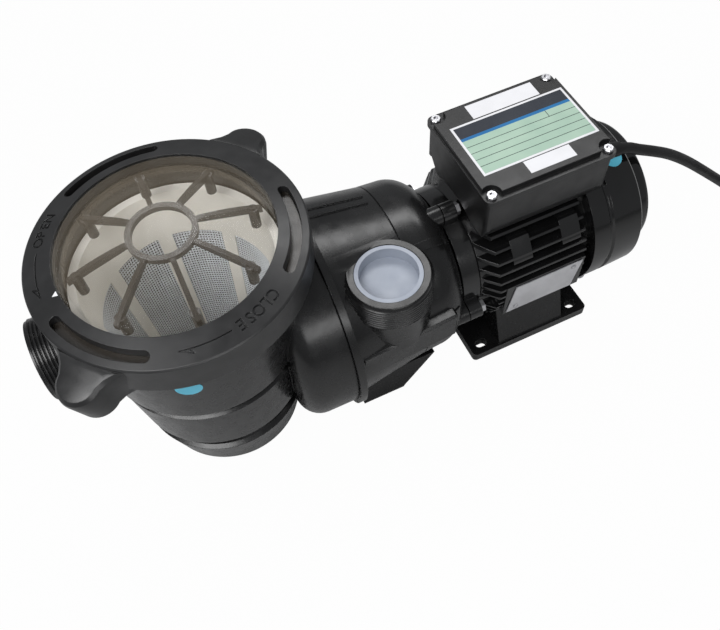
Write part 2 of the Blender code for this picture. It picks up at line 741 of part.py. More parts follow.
def pot_outline():
    """The pot's outside from the rim down to the middle of its underside, in three tiers with grooves."""
    points = [(0, POT_RIM_Z), (POT_RIM_R, POT_RIM_Z), (POT_RIM_R, POT_RIM_Z - POT_RIM_H)]
    points += [(POT_TOP_R, POT_RIM_Z - POT_RIM_H - GROOVE_SETBACK)]
    tiers = ((TIER_1_R, TIER_1_LOW_Z, TIER_2_TOP_R, TIER_2_TOP_Z), (TIER_2_R, TIER_2_LOW_Z, CUP_R, CUP_TOP_Z))
    for radius, low_z, next_r, next_z in tiers:
        points += arc(radius - TIER_ROUND, low_z + TIER_ROUND, TIER_ROUND, 0, -math.pi / 2, 2)
        points += [(radius - TIER_ROUND - GROOVE_SETBACK, next_z + GROOVE_SETBACK), (next_r, next_z)]
    points += arc(CUP_LOW_R - 2 * TIER_ROUND, POT_BASE_Z + 2 * TIER_ROUND, 2 * TIER_ROUND, 0, -math.pi / 2, 2)
    return points + [(0, POT_BASE_Z)]


def make_strainer_pot():
    pot = piece("strainer_pot", turned(pot_outline(), FINE_STEPS), POT_FRAME)
    inlet = at(POT_X, 0, INLET_Z) @ ALONG_X
    join(pot, cylinder(INLET_R, -INLET_REACH, 0), inlet)
    join(pot, cylinder(INLET_COLLAR_R, -INLET_COLLAR_REACH, 0), inlet)
    rear = FLANGE_X - SEAT_GAP
    front = rear - DRUM_DEPTH
    corner = arc(DRUM_R - DRUM_ROUND, front + DRUM_ROUND, DRUM_ROUND, 0, -math.pi / 2, 3)
    join(pot, turned([(0, rear), (DRUM_R, rear)] + corner + [(0, front)], FINE_STEPS), SHAFT_FRAME)
    drain = at(POT_X, 0, DRAIN_Z) @ TO_FAR
    join(pot, cylinder(DRAIN_BOSS_R, 0, DRAIN_BOSS_REACH, SMALL_STEPS), drain)
    floor_z = POT_BASE_Z + POT_FLOOR_T
    inside = [(0, POT_RIM_Z + POT_RIM_H), (POT_MOUTH_R, POT_RIM_Z + POT_RIM_H), (POT_MOUTH_R, LEDGE_Z)]
    waist = TIER_ROUND + GROOVE_SETBACK + POT_WALL
    inside += [(POT_INNER_R, LEDGE_Z), (TIER_1_R - waist, TIER_1_LOW_Z), (TIER_2_R - waist, TIER_2_LOW_Z)]
    inside += [(CUP_LOW_R - 2 * TIER_ROUND, floor_z), (0, floor_z)]
    cut(pot, turned(inside), POT_FRAME)
    cut(pot, cylinder(INLET_BORE_R, -2 * INLET_REACH, 0), inlet)
    cut(pot, cylinder(SUCTION_R, POT_X, 0), SHAFT_FRAME)
    cut(pot, cylinder(DRAIN_R + SEAT_GAP, 0, 2 * DRAIN_BOSS_REACH, SMALL_STEPS), drain)
    cut(pot, tube(DRUM_POCKET_IN_R, DRUM_POCKET_OUT_R, rear - DRUM_POCKET_DEPTH, 0), SHAFT_FRAME)
    groove_z = POT_RIM_Z - 2 * GROOVE_HALF
    lid_groove = tube(LID_GROOVE_R - GROOVE_HALF, LID_GROOVE_R + GROOVE_HALF, groove_z, POT_RIM_Z + POT_RIM_H)
    cut(pot, lid_groove, POT_FRAME)
    groove_x = rear - 2 * GROOVE_HALF
    casing_groove = tube(CASING_GROOVE_R - GROOVE_HALF, CASING_GROOVE_R + GROOVE_HALF, groove_x, 0)
    cut(pot, casing_groove, SHAFT_FRAME)
    return pot


def make_o_rings():
    lid_seal = o_ring(LID_GROOVE_R, POT_RIM_Z - GROOVE_HALF, ORING_RADIUS)
    casing_seal = o_ring(CASING_GROOVE_R, FLANGE_X - SEAT_GAP - GROOVE_HALF, ORING_RADIUS)
    piece("lid_o_ring", lid_seal, POT_FRAME)
    piece("casing_o_ring", casing_seal, SHAFT_FRAME)


def make_drain_plug():
    drain = at(POT_X, 0, DRAIN_Z) @ TO_FAR
    seat = DRAIN_BOSS_REACH + SEAT_GAP
    gasket_in = DRAIN_R + SEAT_GAP
    gasket_out = DRAIN_BOSS_R - RUN_GAP
    piece("drain_plug_gasket", tube(gasket_in, gasket_out, seat, seat + DRAIN_GASKET_T, SMALL_STEPS), drain)
    head = seat + DRAIN_GASKET_T + SEAT_GAP
    plug = piece("drain_plug", extruded(hexagon(DRAIN_HEAD_R), head, head + DRAIN_HEAD_T), drain)
    join(plug, cylinder(DRAIN_R, DRAIN_BOSS_REACH - DRAIN_SHANK, head + DRAIN_HEAD_T / 2, SMALL_STEPS), drain)


def basket_radius(z):
    """The outside radius of the basket's tapered wall at a height."""
    top_r = POT_INNER_R - BASKET_SIDE_GAP
    return top_r - BASKET_TAPER * (LEDGE_Z - z) / BASKET_DEPTH


def make_strainer_basket():
    low = LEDGE_Z + SEAT_GAP
    rim_r = POT_MOUTH_R - BASKET_RIM_GAP
    base_z = low - BASKET_DEPTH
    top_r = basket_radius(low)
    base_r = basket_radius(base_z)
    profile = [
        (top_r - BASKET_WALL, low + BASKET_RIM_T),
        (rim_r, low + BASKET_RIM_T),
        (rim_r, low),
        (top_r, low),
        (base_r, base_z),
        (0, base_z),
        (0, base_z + BASKET_WALL),
        (base_r - BASKET_WALL, base_z + BASKET_WALL),
    ]
    basket = piece("strainer_basket", turned(profile, WINDOWS * 4), POT_FRAME)
    window_low = base_z + WINDOW_FOOT_RISE
    window_high = low - WINDOW_TOP_DROP
    half = WINDOW_SLOT_W / 2
    for window in range(WINDOWS):
        for slot in range(WINDOW_SLOTS):
            angle = (window + 0.5) * 2 * math.pi / WINDOWS + (slot - (WINDOW_SLOTS - 1) / 2) * WINDOW_SLOT_PITCH
            cutter = block((base_r / 2, -half, window_low), (rim_r, half, window_high))
            cut(basket, cutter, POT_FRAME @ Matrix.Rotation(angle, 4, "Z"))
    for slot in range(BASE_SLOTS):
        angle = slot * 2 * math.pi / BASE_SLOTS
        slot_low = (BASE_SLOT_IN, -BASE_SLOT_W / 2, base_z - BASKET_WALL)
        cutter = block(slot_low, (BASE_SLOT_OUT, BASE_SLOT_W / 2, base_z + 2 * BASKET_WALL))
        cut(basket, cutter, POT_FRAME @ Matrix.Rotation(angle, 4, "Z"))
    return basket


def casing_outline():
    """The volute drum's outside, from its front flange to its rear face, as (radius, X) points."""
    lip_x = FLANGE_X + CASING_LIP_T
    half_seam = CASING_SEAM_W / 2
    shoulder_x = CASING_REAR_X - CASING_SHOULDER
    points = [(0, FLANGE_X), (CASING_LIP_R, FLANGE_X), (CASING_LIP_R, lip_x)]
    points += [(CASING_FRONT_R, lip_x + CASING_SEAM_W), (CASING_MID_R, CASING_SEAM_X - half_seam)]
    points += [(CASING_MID_R - CASING_SEAM_W, CASING_SEAM_X), (CASING_MID_R, CASING_SEAM_X + half_seam)]
    points += arc(CASING_REAR_R - CASING_SHOULDER, shoulder_x, CASING_SHOULDER, 0, math.pi / 2, 5)
    return points + [(0, CASING_REAR_X)]


def bolt_angles():
    return [BOLT_FIRST + i * 2 * math.pi / BOLTS for i in range(BOLTS)]


def ear_outline():
    """One bolt ear seen along the shaft, with local X pointing outwards."""
    root = BRACKET_R - EAR_R
    return [(root, -EAR_R)] + arc(BOLT_PITCH_R, 0, EAR_R, -math.pi / 2, math.pi / 2, 5) + [(root, EAR_R)]


def make_pump_casing():
    casing = piece("pump_casing", turned(casing_outline(), FINE_STEPS), SHAFT_FRAME)
    saddle = [(SADDLE_FRONT_X, SADDLE_FRONT_Y), (SADDLE_REAR_X, SADDLE_REAR_Y), (SADDLE_REAR_X, PORT_Y)]
    saddle += [(SADDLE_FRONT_X, PORT_Y)]
    join(casing, bevelled(extruded(saddle, SADDLE_FOOT_Z, SADDLE_TOP_Z), SADDLE_BEVEL, 1))
    port = at(PORT_X, PORT_Y, 0)
    thread_z = PORT_TOP_Z - PORT_RIM_H
    neck_z = thread_z - PORT_THREAD_H
    profile = [(0, PORT_TOP_Z), (PORT_RIM_R, PORT_TOP_Z), (PORT_THREAD_R, thread_z), (PORT_THREAD_R, neck_z)]
    profile += [(PORT_RIM_R, neck_z - PORT_RIM_H), (PORT_RIM_R, PORT_FOOT_Z), (0, PORT_FOOT_Z)]
    join(casing, turned(profile), port)
    foot_low = FRONT_FOOT_HALF_Y
    foot_high = FRONT_FOOT_TOP_HALF_Y
    outline = [(-foot_low, 0), (foot_low, 0), (foot_high, FRONT_FOOT_H), (-foot_high, FRONT_FOOT_H)]
    join(casing, extruded(outline, -FRONT_FOOT_HALF_X, FRONT_FOOT_HALF_X), at(FRONT_FOOT_X, 0, 0) @ ALONG_X)
    for angle in bolt_angles():
        boss = extruded(ear_outline(), CASING_REAR_X - CASING_SHOULDER, CASING_REAR_X - SEAT_GAP)
        join(casing, boss, about_shaft(angle))
    cut(casing, cylinder(CHAMBER_R, FLANGE_X - CASING_LIP_T, CASING_REAR_X - REAR_WALL), SHAFT_FRAME)
    cut(casing, cylinder(REAR_BORE_R, FLANGE_X, 0), SHAFT_FRAME)
    cut(casing, cylinder(PORT_BORE_R, PORT_STEP_Z, PORT_TOP_Z + CAP_H), port)
    cut(casing, cylinder(THROAT_R, THROAT_FOOT_Z, PORT_TOP_Z), port)
    for angle in bolt_angles():
        hole = cylinder(BOLT_R + SCREW_GAP, CASING_REAR_X - BOLT_DEPTH - RUN_GAP, 0, SMALL_STEPS)
        cut(casing, hole, about_shaft(angle) @ at(BOLT_PITCH_R, 0, 0))
    return casing


def make_port_cap():
    radius = PORT_BORE_R - SEAT_GAP
    floor_z = CAP_TOP_Z - CAP_DEPTH
    low_z = CAP_TOP_Z - CAP_H
    inner = radius - CAP_WALL
    profile = [(0, floor_z), (inner, floor_z), (inner, CAP_TOP_Z)]
    profile += [(radius, CAP_TOP_Z), (radius, low_z), (0, low_z)]
    return piece("port_cap", turned(profile), at(PORT_X, PORT_Y, 0))


def make_diffuser():
    rear = SEAL_PLATE_FRONT_X - SEAT_GAP
    plate_rear = DIFFUSER_FRONT_X + DIFFUSER_WALL
    snout_r = SUCTION_R - SEAT_GAP
    snout_x = DIFFUSER_FRONT_X - DIFFUSER_SNOUT
    bore = snout_r - DIFFUSER_SNOUT_WALL
    inner = DIFFUSER_R - DIFFUSER_WALL
    profile = [(bore, snout_x), (snout_r, snout_x), (snout_r, DIFFUSER_FRONT_X), (DIFFUSER_R, DIFFUSER_FRONT_X)]
    profile += [(DIFFUSER_R, rear), (inner, rear), (inner, plate_rear), (bore, plate_rear)]
    diffuser = piece("diffuser", turned(profile), SHAFT_FRAME)
    for i in range(DIFFUSER_SLOTS):
        angle = i * 2 * math.pi / DIFFUSER_SLOTS
        half = DIFFUSER_SLOT_W / 2
        slot = block((IMPELLER_R, -half, IMPELLER_FRONT_X), (CHAMBER_R, half, IMPELLER_BACK_X))
        cut(diffuser, slot, about_shaft(angle))


def vane_outline():
    """One backward-swept impeller vane seen along the shaft."""
    outside = []
    inside = []
    for i in range(VANE_POINTS):
        share = i / (VANE_POINTS - 1)
        radius = EYE_R + (IMPELLER_R - VANE_T - EYE_R) * share
        angle = VANE_SWEEP * share
        turn = VANE_T / (2 * radius)
        outside.append((radius * math.cos(angle + turn), radius * math.sin(angle + turn)))
        inside.append((radius * math.cos(angle - turn), radius * math.sin(angle - turn)))
    return outside[::-1] + inside


def make_impeller():
    hub = [(0, HUB_FRONT_X), (HUB_R / 2, HUB_FRONT_X), (HUB_R, HUB_FRONT_X + HUB_R / 2), (HUB_R, HUB_REAR_X)]
    impeller = piece("impeller", turned(hub + [(0, HUB_REAR_X)], SMALL_STEPS), SHAFT_FRAME)
    join(impeller, cylinder(IMPELLER_R, IMPELLER_BACK_X - SHROUD_T, IMPELLER_BACK_X), SHAFT_FRAME)
    shroud_rear = IMPELLER_FRONT_X + SHROUD_T
    collar_x = IMPELLER_FRONT_X - EYE_COLLAR
    collar_r = EYE_R + EYE_COLLAR_T
    shroud = [(EYE_R, collar_x), (collar_r, collar_x), (collar_r, IMPELLER_FRONT_X)]
    shroud += [(IMPELLER_R, IMPELLER_FRONT_X), (IMPELLER_R, shroud_rear), (EYE_R, shroud_rear)]
    for i in range(VANES):
        vane = extruded(vane_outline(), IMPELLER_FRONT_X + SHROUD_T / 2, IMPELLER_BACK_X - SHROUD_T / 2)
        join(impeller, vane, about_shaft(i * 2 * math.pi / VANES))
    join(impeller, turned(shroud), SHAFT_FRAME)
    cut(impeller, cylinder(SHAFT_NOSE_R + SEAT_GAP, SHAFT_FRONT_X - SEAT_GAP, 0, SMALL_STEPS), SHAFT_FRAME)


def make_shaft_seal():
    rear = BRACKET_REAR_X - BRACKET_LENGTH
    boss_r = REAR_BORE_R - SEAT_GAP
    profile = [(SHAFT_HOLE_R, SEAL_PLATE_FRONT_X), (SEAL_PLATE_R, SEAL_PLATE_FRONT_X)]
    profile += [(SEAL_PLATE_R, SEAL_PLATE_REAR_X), (boss_r, SEAL_PLATE_REAR_X)]
    profile += [(boss_r, rear), (SHAFT_HOLE_R, rear)]
    plate = piece("seal_plate", turned(profile), SHAFT_FRAME)
    pocket = cylinder(SEAL_SEAT_R + SEAT_GAP, 2 * SEAL_PLATE_FRONT_X, SEAL_PLATE_FRONT_X + SEAL_SEAT_T, STEPS)
    cut(plate, pocket, SHAFT_FRAME)
    seat_rear = SEAL_PLATE_FRONT_X + SEAL_SEAT_T - SEAT_GAP
    seat = tube(SEAL_SEAT_BORE_R, SEAL_SEAT_R, SEAL_PLATE_FRONT_X, seat_rear, SMALL_STEPS)
    piece("seal_seat", seat, SHAFT_FRAME)
    bore = SHAFT_NOSE_R + SEAT_GAP
    low = HUB_REAR_X + SEAT_GAP
    high = SEAL_PLATE_FRONT_X - SEAT_GAP
    waist = SEAL_HEAD_R - 2 * SEAL_SEAT_T / 3
    third = (high - low) / 3
    head = [(bore, low), (SEAL_HEAD_R, low), (SEAL_HEAD_R, low + third), (waist, low + third)]
    head += [(waist, high - third), (SEAL_HEAD_R, high - third), (SEAL_HEAD_R, high), (bore, high)]
    piece("seal_head", turned(head, SMALL_STEPS), SHAFT_FRAME)


# Motor

def make_motor_shaft():
    front_step = FRONT_BEARING_X + BEARING_W + RUN_GAP
    rear_step = REAR_BEARING_X - RUN_GAP
    fan_step = REAR_BEARING_X + BEARING_W + RUN_GAP
    nose_step = FRONT_BEARING_X - RUN_GAP
    profile = [(0, SHAFT_FRONT_X), (SHAFT_NOSE_R, SHAFT_FRONT_X), (SHAFT_NOSE_R, nose_step)]
    profile += [(SHAFT_BEARING_R, nose_step), (SHAFT_BEARING_R, front_step), (SHAFT_ROTOR_R, front_step)]
    profile += [(SHAFT_ROTOR_R, rear_step), (SHAFT_BEARING_R, rear_step), (SHAFT_BEARING_R, fan_step)]
    profile += [(SHAFT_FAN_R, fan_step), (SHAFT_FAN_R, SHAFT_REAR_X), (0, SHAFT_REAR_X)]
    piece("motor_shaft", turned(profile, SMALL_STEPS), SHAFT_FRAME)


def make_rotor_and_stator():
    rear = ROTOR_REAR_X
    piece("rotor_core", tube(SHAFT_ROTOR_R + SEAT_GAP, ROTOR_R, ROTOR_FRONT_X, rear), SHAFT_FRAME)
    piece("stator_core", tube(ROTOR_R + RUN_GAP, STATOR_R, ROTOR_FRONT_X, rear), SHAFT_FRAME)
    ends = (
        ("stator_winding_front", ROTOR_FRONT_X - SEAT_GAP - WINDING_LENGTH),
        ("stator_winding_rear", rear + SEAT_GAP),
    )
    for name, start in ends:
        end = start + WINDING_LENGTH
        outline = rounded_rectangle(WINDING_IN_R, WINDING_OUT_R, start, end, WINDING_ROUND, 1)
        piece(name, turned(outline, SMALL_STEPS), SHAFT_FRAME)


def make_bearings():
    inner = SHAFT_BEARING_R + SEAT_GAP
    outer = BEARING_R - SEAT_GAP
    for name, start in (("front_bearing", FRONT_BEARING_X), ("rear_bearing", REAR_BEARING_X)):
        piece(name, tube(inner, outer, start, start + BEARING_W, 16), SHAFT_FRAME)


def make_motor_bracket():
    front = BRACKET_REAR_X - BRACKET_LENGTH + SEAT_GAP
    spigot_r = STATOR_R
    rear = BRACKET_REAR_X + SPIGOT_LENGTH
    pocket = FRONT_BEARING_X - SEAT_GAP
    profile = [(SHAFT_HOLE_R, front), (BRACKET_R, front), (BRACKET_R, BRACKET_REAR_X)]
    profile += [(spigot_r, BRACKET_REAR_X), (spigot_r, rear)]
    profile += [(BEARING_R, rear), (BEARING_R, pocket), (SHAFT_HOLE_R, pocket)]
    bracket = piece("motor_bracket", turned(profile), SHAFT_FRAME)
    for angle in bolt_angles():
        join(bracket, extruded(ear_outline(), front + SEAT_GAP, front + EAR_LENGTH), about_shaft(angle))
    cut(bracket, cylinder(BEARING_R, pocket, rear + SPIGOT_LENGTH), SHAFT_FRAME)
    for angle in bolt_angles():
        hole = cylinder(BOLT_R + SCREW_GAP, CASING_REAR_X - BOLT_DEPTH, 0, SMALL_STEPS)
        cut(bracket, hole, about_shaft(angle) @ at(BOLT_PITCH_R, 0, 0))


def make_casing_bolts():
    seat = BRACKET_REAR_X - BRACKET_LENGTH + SEAT_GAP + EAR_LENGTH + SEAT_GAP
    tip = CASING_REAR_X - BOLT_DEPTH
    for i, angle in enumerate(bolt_angles()):
        frame = about_shaft(angle) @ at(BOLT_PITCH_R, 0, 0)
        bolt = piece(f"casing_bolt_{i + 1}", extruded(hexagon(BOLT_HEAD_R), seat, seat + BOLT_HEAD_T), frame)
        join(bolt, cylinder(BOLT_R, tip, seat + BOLT_HEAD_T / 2, 12), frame)


def make_motor_housing():
    rear = HOUSING_REAR_X
    housing = piece("motor_housing", cylinder(HOUSING_R, HOUSING_FRONT_X, rear, FINE_STEPS), SHAFT_FRAME)
    fin_rear = rear - FIN_REAR_SETBACK
    for row in range(-FIN_ROWS, FIN_ROWS + 1):
        height = row * FIN_PITCH
        reach = math.sqrt(FIN_R**2 - height**2)
        low = (HOUSING_FRONT_X, -reach, SHAFT_Z + height - FIN_T / 2)
        high = (fin_rear, reach, SHAFT_Z + height + FIN_T / 2)
        join(housing, block(low, high))
    pad_low = (HOUSING_FRONT_X, -PAD_HALF_W, SHAFT_Z - FIN_R)
    pad_high = (fin_rear, PAD_HALF_W, SHAFT_Z + FIN_R)
    join(housing, block(pad_low, pad_high))
    for middle in LUG_PAD_X:
        low = (middle - LUG_PAD_HALF_X, -LUG_PAD_Y, LUG_PAD_LOW_Z)
        high = (middle + LUG_PAD_HALF_X, LUG_PAD_Y, LUG_PAD_HIGH_Z)
        join(housing, block(low, high))
    past = FIN_CHAMFER / 2
    chamfer = [(0, HOUSING_FRONT_X - past), (FIN_R - FIN_CHAMFER - past, HOUSING_FRONT_X - past)]
    chamfer += [(FIN_R, HOUSING_FRONT_X + FIN_CHAMFER), (FIN_R, rear + past), (0, rear + past)]
    keep(housing, turned(chamfer, FINE_STEPS), SHAFT_FRAME)
    margin = PLATE_PAD_MARGIN
    half_x = PLATE_LENGTH / 2 + PLATE_SKEW + margin
    half_z = PLATE_H / 2 + margin
    plate_low = (PLATE_X - half_x, -PLATE_Y, PLATE_Z - half_z)
    plate_high = (PLATE_X + half_x, -HOUSING_R / 2, PLATE_Z + half_z)
    join(housing, block(plate_low, plate_high))
    cut(housing, cylinder(STATOR_R + SEAT_GAP, 2 * HOUSING_FRONT_X, 2 * rear), SHAFT_FRAME)
    for angle in bolt_angles():
        notch = cylinder(EAR_R + SCREW_GAP, 2 * HOUSING_FRONT_X, HOUSING_FRONT_X + FIN_CHAMFER, SMALL_STEPS)
        cut(housing, notch, about_shaft(angle) @ at(BOLT_PITCH_R + RUN_GAP, 0, 0))
    face = PLATE_Y + RIVET_LENGTH
    for x, z in rivet_places():
        hole = cylinder(RIVET_SHANK_R + SEAT_GAP, PLATE_Y - RIVET_LENGTH - SEAT_GAP, face, PIN_STEPS)
        cut(housing, hole, at(x, 0, z) @ TO_NEAR)
    return housing


def rivet_places():
    half_x = PLATE_LENGTH / 2 - RIVET_INSET
    half_z = PLATE_H / 2 - RIVET_INSET
    return ((PLATE_X - half_x, PLATE_Z - half_z), (PLATE_X + half_x, PLATE_Z + half_z))


def make_rating_plate():
    half_x = PLATE_LENGTH / 2
    half_z = PLATE_H / 2
    outline = [(-half_x - PLATE_SKEW, -half_z), (half_x - PLATE_SKEW, -half_z)]
    outline += [(half_x + PLATE_SKEW, half_z), (-half_x + PLATE_SKEW, half_z)]
    back = PLATE_Y + SEAT_GAP
    frame = at(PLATE_X, 0, PLATE_Z) @ TO_NEAR
    plate = piece("rating_plate", extruded(outline, back, back + PLATE_T), frame)
    face = back + PLATE_T + SEAT_GAP
    for i, (x, z) in enumerate(rivet_places()):
        rivet_frame = at(x, 0, z) @ TO_NEAR
        cut(plate, cylinder(RIVET_SHANK_R + SEAT_GAP, 0, 2 * face, PIN_STEPS), rivet_frame)
        tip = PLATE_Y - RIVET_LENGTH
        head = [(0, face + RIVET_HEAD_T), (RIVET_R * 0.7, face + RIVET_HEAD_T * 0.7), (RIVET_R, face)]
        profile = head + [(RIVET_SHANK_R, face), (RIVET_SHANK_R, tip), (0, tip)]
        piece(f"plate_rivet_{i + 1}", turned(profile, PIN_STEPS), rivet_frame)


def make_rear_end_shield():
    hub_front = REAR_BEARING_X - SEAT_GAP
    pocket_rear = REAR_BEARING_X + BEARING_W + SEAT_GAP
    rear = SHIELD_FLANGE_X + SHIELD_FLANGE_T
    profile = [(BEARING_R, hub_front), (SHIELD_HUB_R, hub_front), (SHIELD_HUB_R, SHIELD_FRONT_X)]
    profile += [(SHIELD_NECK_R, SHIELD_FRONT_X), (SHIELD_NECK_R, SHIELD_FLANGE_X), (SHIELD_R, SHIELD_FLANGE_X)]
    profile += [(SHIELD_R, rear), (SHAFT_HOLE_R, rear), (SHAFT_HOLE_R, pocket_rear), (BEARING_R, pocket_rear)]
    shield = piece("rear_end_shield", turned(profile, FINE_STEPS), SHAFT_FRAME)
    for frame in cover_screw_frames():
        low = SHIELD_R + FAN_COVER_WALL - COVER_SCREW_LENGTH
        cut(shield, cylinder(COVER_SCREW_R + SCREW_GAP, low, FAN_COVER_R, PIN_STEPS), frame)


def cover_screw_frames():
    """Frames on the fan cover's screws, with local Z pointing outwards along each screw."""
    screw_x = FAN_COVER_FRONT_X + COVER_SCREW_FROM_FRONT
    return [at(screw_x, 0, SHAFT_Z) @ Matrix.Rotation(angle, 4, "X") for angle in COVER_SCREW_ANGLES]


def fan_cover_profile():
    """The cover's outside from its open front to the middle of its rear face, then back along the inside."""
    wall = FAN_COVER_WALL
    front = FAN_COVER_FRONT_X
    edge_x = FAN_COVER_EDGE_X
    rear = FAN_COVER_REAR_X
    groove = front + GROOVE_FROM_FRONT
    groove_r = FAN_COVER_R - GROOVE_DEPTH
    edge_r = FAN_COVER_REAR_R
    corner = COVER_CAP_ROUND
    profile = [(FAN_COVER_R - wall, front), (FAN_COVER_R, front), (FAN_COVER_R, groove)]
    profile += [(groove_r, groove + GROOVE_DEPTH), (groove_r, groove + GROOVE_W - GROOVE_DEPTH)]
    profile += [(FAN_COVER_R, groove + GROOVE_W), (edge_r, edge_x - FAN_COVER_EDGE)]
    profile += [(edge_r - FAN_COVER_EDGE, edge_x), (COVER_CAP_R, edge_x + FAN_COVER_EDGE)]
    profile += arc(COVER_CAP_R - corner, rear - corner, corner, 0, math.pi / 2, 3)
    profile += [(0, rear), (0, rear - wall), (COVER_CAP_R - corner, rear - wall)]
    profile += [(COVER_CAP_R - wall, rear - corner), (COVER_CAP_R - wall, edge_x + FAN_COVER_EDGE - wall)]
    profile += [(edge_r - FAN_COVER_EDGE - wall, edge_x - wall), (groove_r - wall, groove)]
    return profile + [(FAN_COVER_R - wall, groove - GROOVE_DEPTH)]


def make_fan_cover():
    wall = FAN_COVER_WALL
    rear = FAN_COVER_REAR_X
    cover = piece("fan_cover", turned(fan_cover_profile(), FINE_STEPS), SHAFT_FRAME)
    for ring in range(GRILLE_RINGS):
        radius = GRILLE_FIRST_R + ring * GRILLE_PITCH
        span = 2 * math.pi / GRILLE_ARCS - (GRILLE_BAR_W + GRILLE_SLOT_W) / radius
        for part in range(GRILLE_ARCS):
            middle = (part + 0.5) * 2 * math.pi / GRILLE_ARCS
            outline = ring_sector(radius, GRILLE_SLOT_W, middle, span, 3, 2)
            cut(cover, extruded(outline, rear - 2 * wall, rear + wall), SHAFT_FRAME)
    for frame in cover_screw_frames():
        cut(cover, cylinder(COVER_SCREW_R + SCREW_GAP, SHIELD_R / 2, 2 * FAN_COVER_R, PIN_STEPS), frame)


def make_fan_cover_screws():
    seat = FAN_COVER_R + SEAT_GAP
    tip = SHIELD_R + FAN_COVER_WALL - COVER_SCREW_LENGTH + SEAT_GAP
    for i, frame in enumerate(cover_screw_frames()):
        profile = [(0, seat + COVER_SCREW_HEAD_T), (COVER_SCREW_HEAD_R / 2, seat + COVER_SCREW_HEAD_T)]
        profile += [(COVER_SCREW_HEAD_R, seat + COVER_SCREW_HEAD_T / 2), (COVER_SCREW_HEAD_R, seat)]
        profile += [(COVER_SCREW_R, seat), (COVER_SCREW_R, tip), (0, tip)]
        piece(f"fan_cover_screw_{i + 1}", turned(profile, PIN_STEPS), frame)


def make_cooling_fan():
    rear = FAN_FRONT_X + FAN_LENGTH
    fan = piece("cooling_fan", cylinder(FAN_HUB_R, FAN_FRONT_X, rear, SMALL_STEPS), SHAFT_FRAME)
    join(fan, cylinder(FAN_DISC_R, FAN_FRONT_X, FAN_FRONT_X + FAN_DISC_T), SHAFT_FRAME)
    half = FAN_BLADE_T / 2
    root = (SHAFT_FAN_R + FAN_HUB_R) / 2
    blade_front = FAN_FRONT_X + FAN_DISC_T / 2
    blade_rear = rear - FAN_DISC_T / 2
    for i in range(FAN_BLADES):
        blade = [(root, blade_front), (FAN_R, blade_front), (FAN_R, rear - FAN_LENGTH / 4)]
        blade += [(FAN_R - FAN_LENGTH / 4, blade_rear), (root, blade_rear)]
        turn = about_shaft(i * 2 * math.pi / FAN_BLADES) @ TO_NEAR
        join(fan, extruded(blade, -half, half), turn)
    cut(fan, cylinder(SHAFT_FAN_R + SEAT_GAP, 0, 2 * rear, SMALL_STEPS), SHAFT_FRAME)


def make_motor_foot():
    plan = rounded_rectangle(-FOOT_HALF_X, FOOT_HALF_X, -FOOT_HALF_Y, FOOT_HALF_Y, FOOT_CORNER, 2)
    foot = piece("motor_foot", extruded(plan, 0, FOOT_FLANGE_T))
    inset = FOOT_HALF_Y - SEAT_GAP
    side = [(-inset, FOOT_FLANGE_T / 2), (inset, FOOT_FLANGE_T / 2), (PEDESTAL_TOP_HALF_Y, PEDESTAL_TOP_Z)]
    side += [(-PEDESTAL_TOP_HALF_Y, PEDESTAL_TOP_Z)]
    join(foot, extruded(side, -PEDESTAL_HALF_X, PEDESTAL_HALF_X), ALONG_X)
    cut(foot, cylinder(FIN_R + SEAT_GAP, -FOOT_HALF_X, FOOT_HALF_X, FINE_STEPS), SHAFT_FRAME)
    half_w = FOOT_SLOT_W / 2
    half_l = FOOT_SLOT_LENGTH / 2
    for x in (-FOOT_SLOT_X, FOOT_SLOT_X):
        for y in (-FOOT_SLOT_Y, FOOT_SLOT_Y):
            outline = rounded_rectangle(x - half_l, x + half_l, y - half_w, y + half_w, half_w * 0.98, 3)
            cut(foot, extruded(outline, -FOOT_FLANGE_T, 2 * FOOT_FLANGE_T))
    pocket_y = PEDESTAL_TOP_HALF_Y - FOOT_WALL
    for side in (-1, 1):
        ends = sorted((side * FOOT_WEB / 2, side * (PEDESTAL_HALF_X - FOOT_WALL)))
        cut(foot, block((ends[0], -pocket_y, -FOOT_FLANGE_T), (ends[1], pocket_y, FOOT_POCKET_H)))
    return foot


# Electrics

def box_plan(inset, corner, count):
    """The terminal box's outline seen from above, drawn in by an inset."""
    half_y = BOX_HALF_Y - inset
    return rounded_rectangle(BOX_FRONT_X + inset, BOX_REAR_X - inset, -half_y, half_y, corner, count)


def box_screw_places():
    xs = (BOX_FRONT_X + BOX_SCREW_INSET_X, BOX_REAR_X - BOX_SCREW_INSET_X)
    ys = (BOX_SCREW_INSET_Y - BOX_HALF_Y, BOX_HALF_Y - BOX_SCREW_INSET_Y)
    return [(x, y) for x in xs for y in ys]


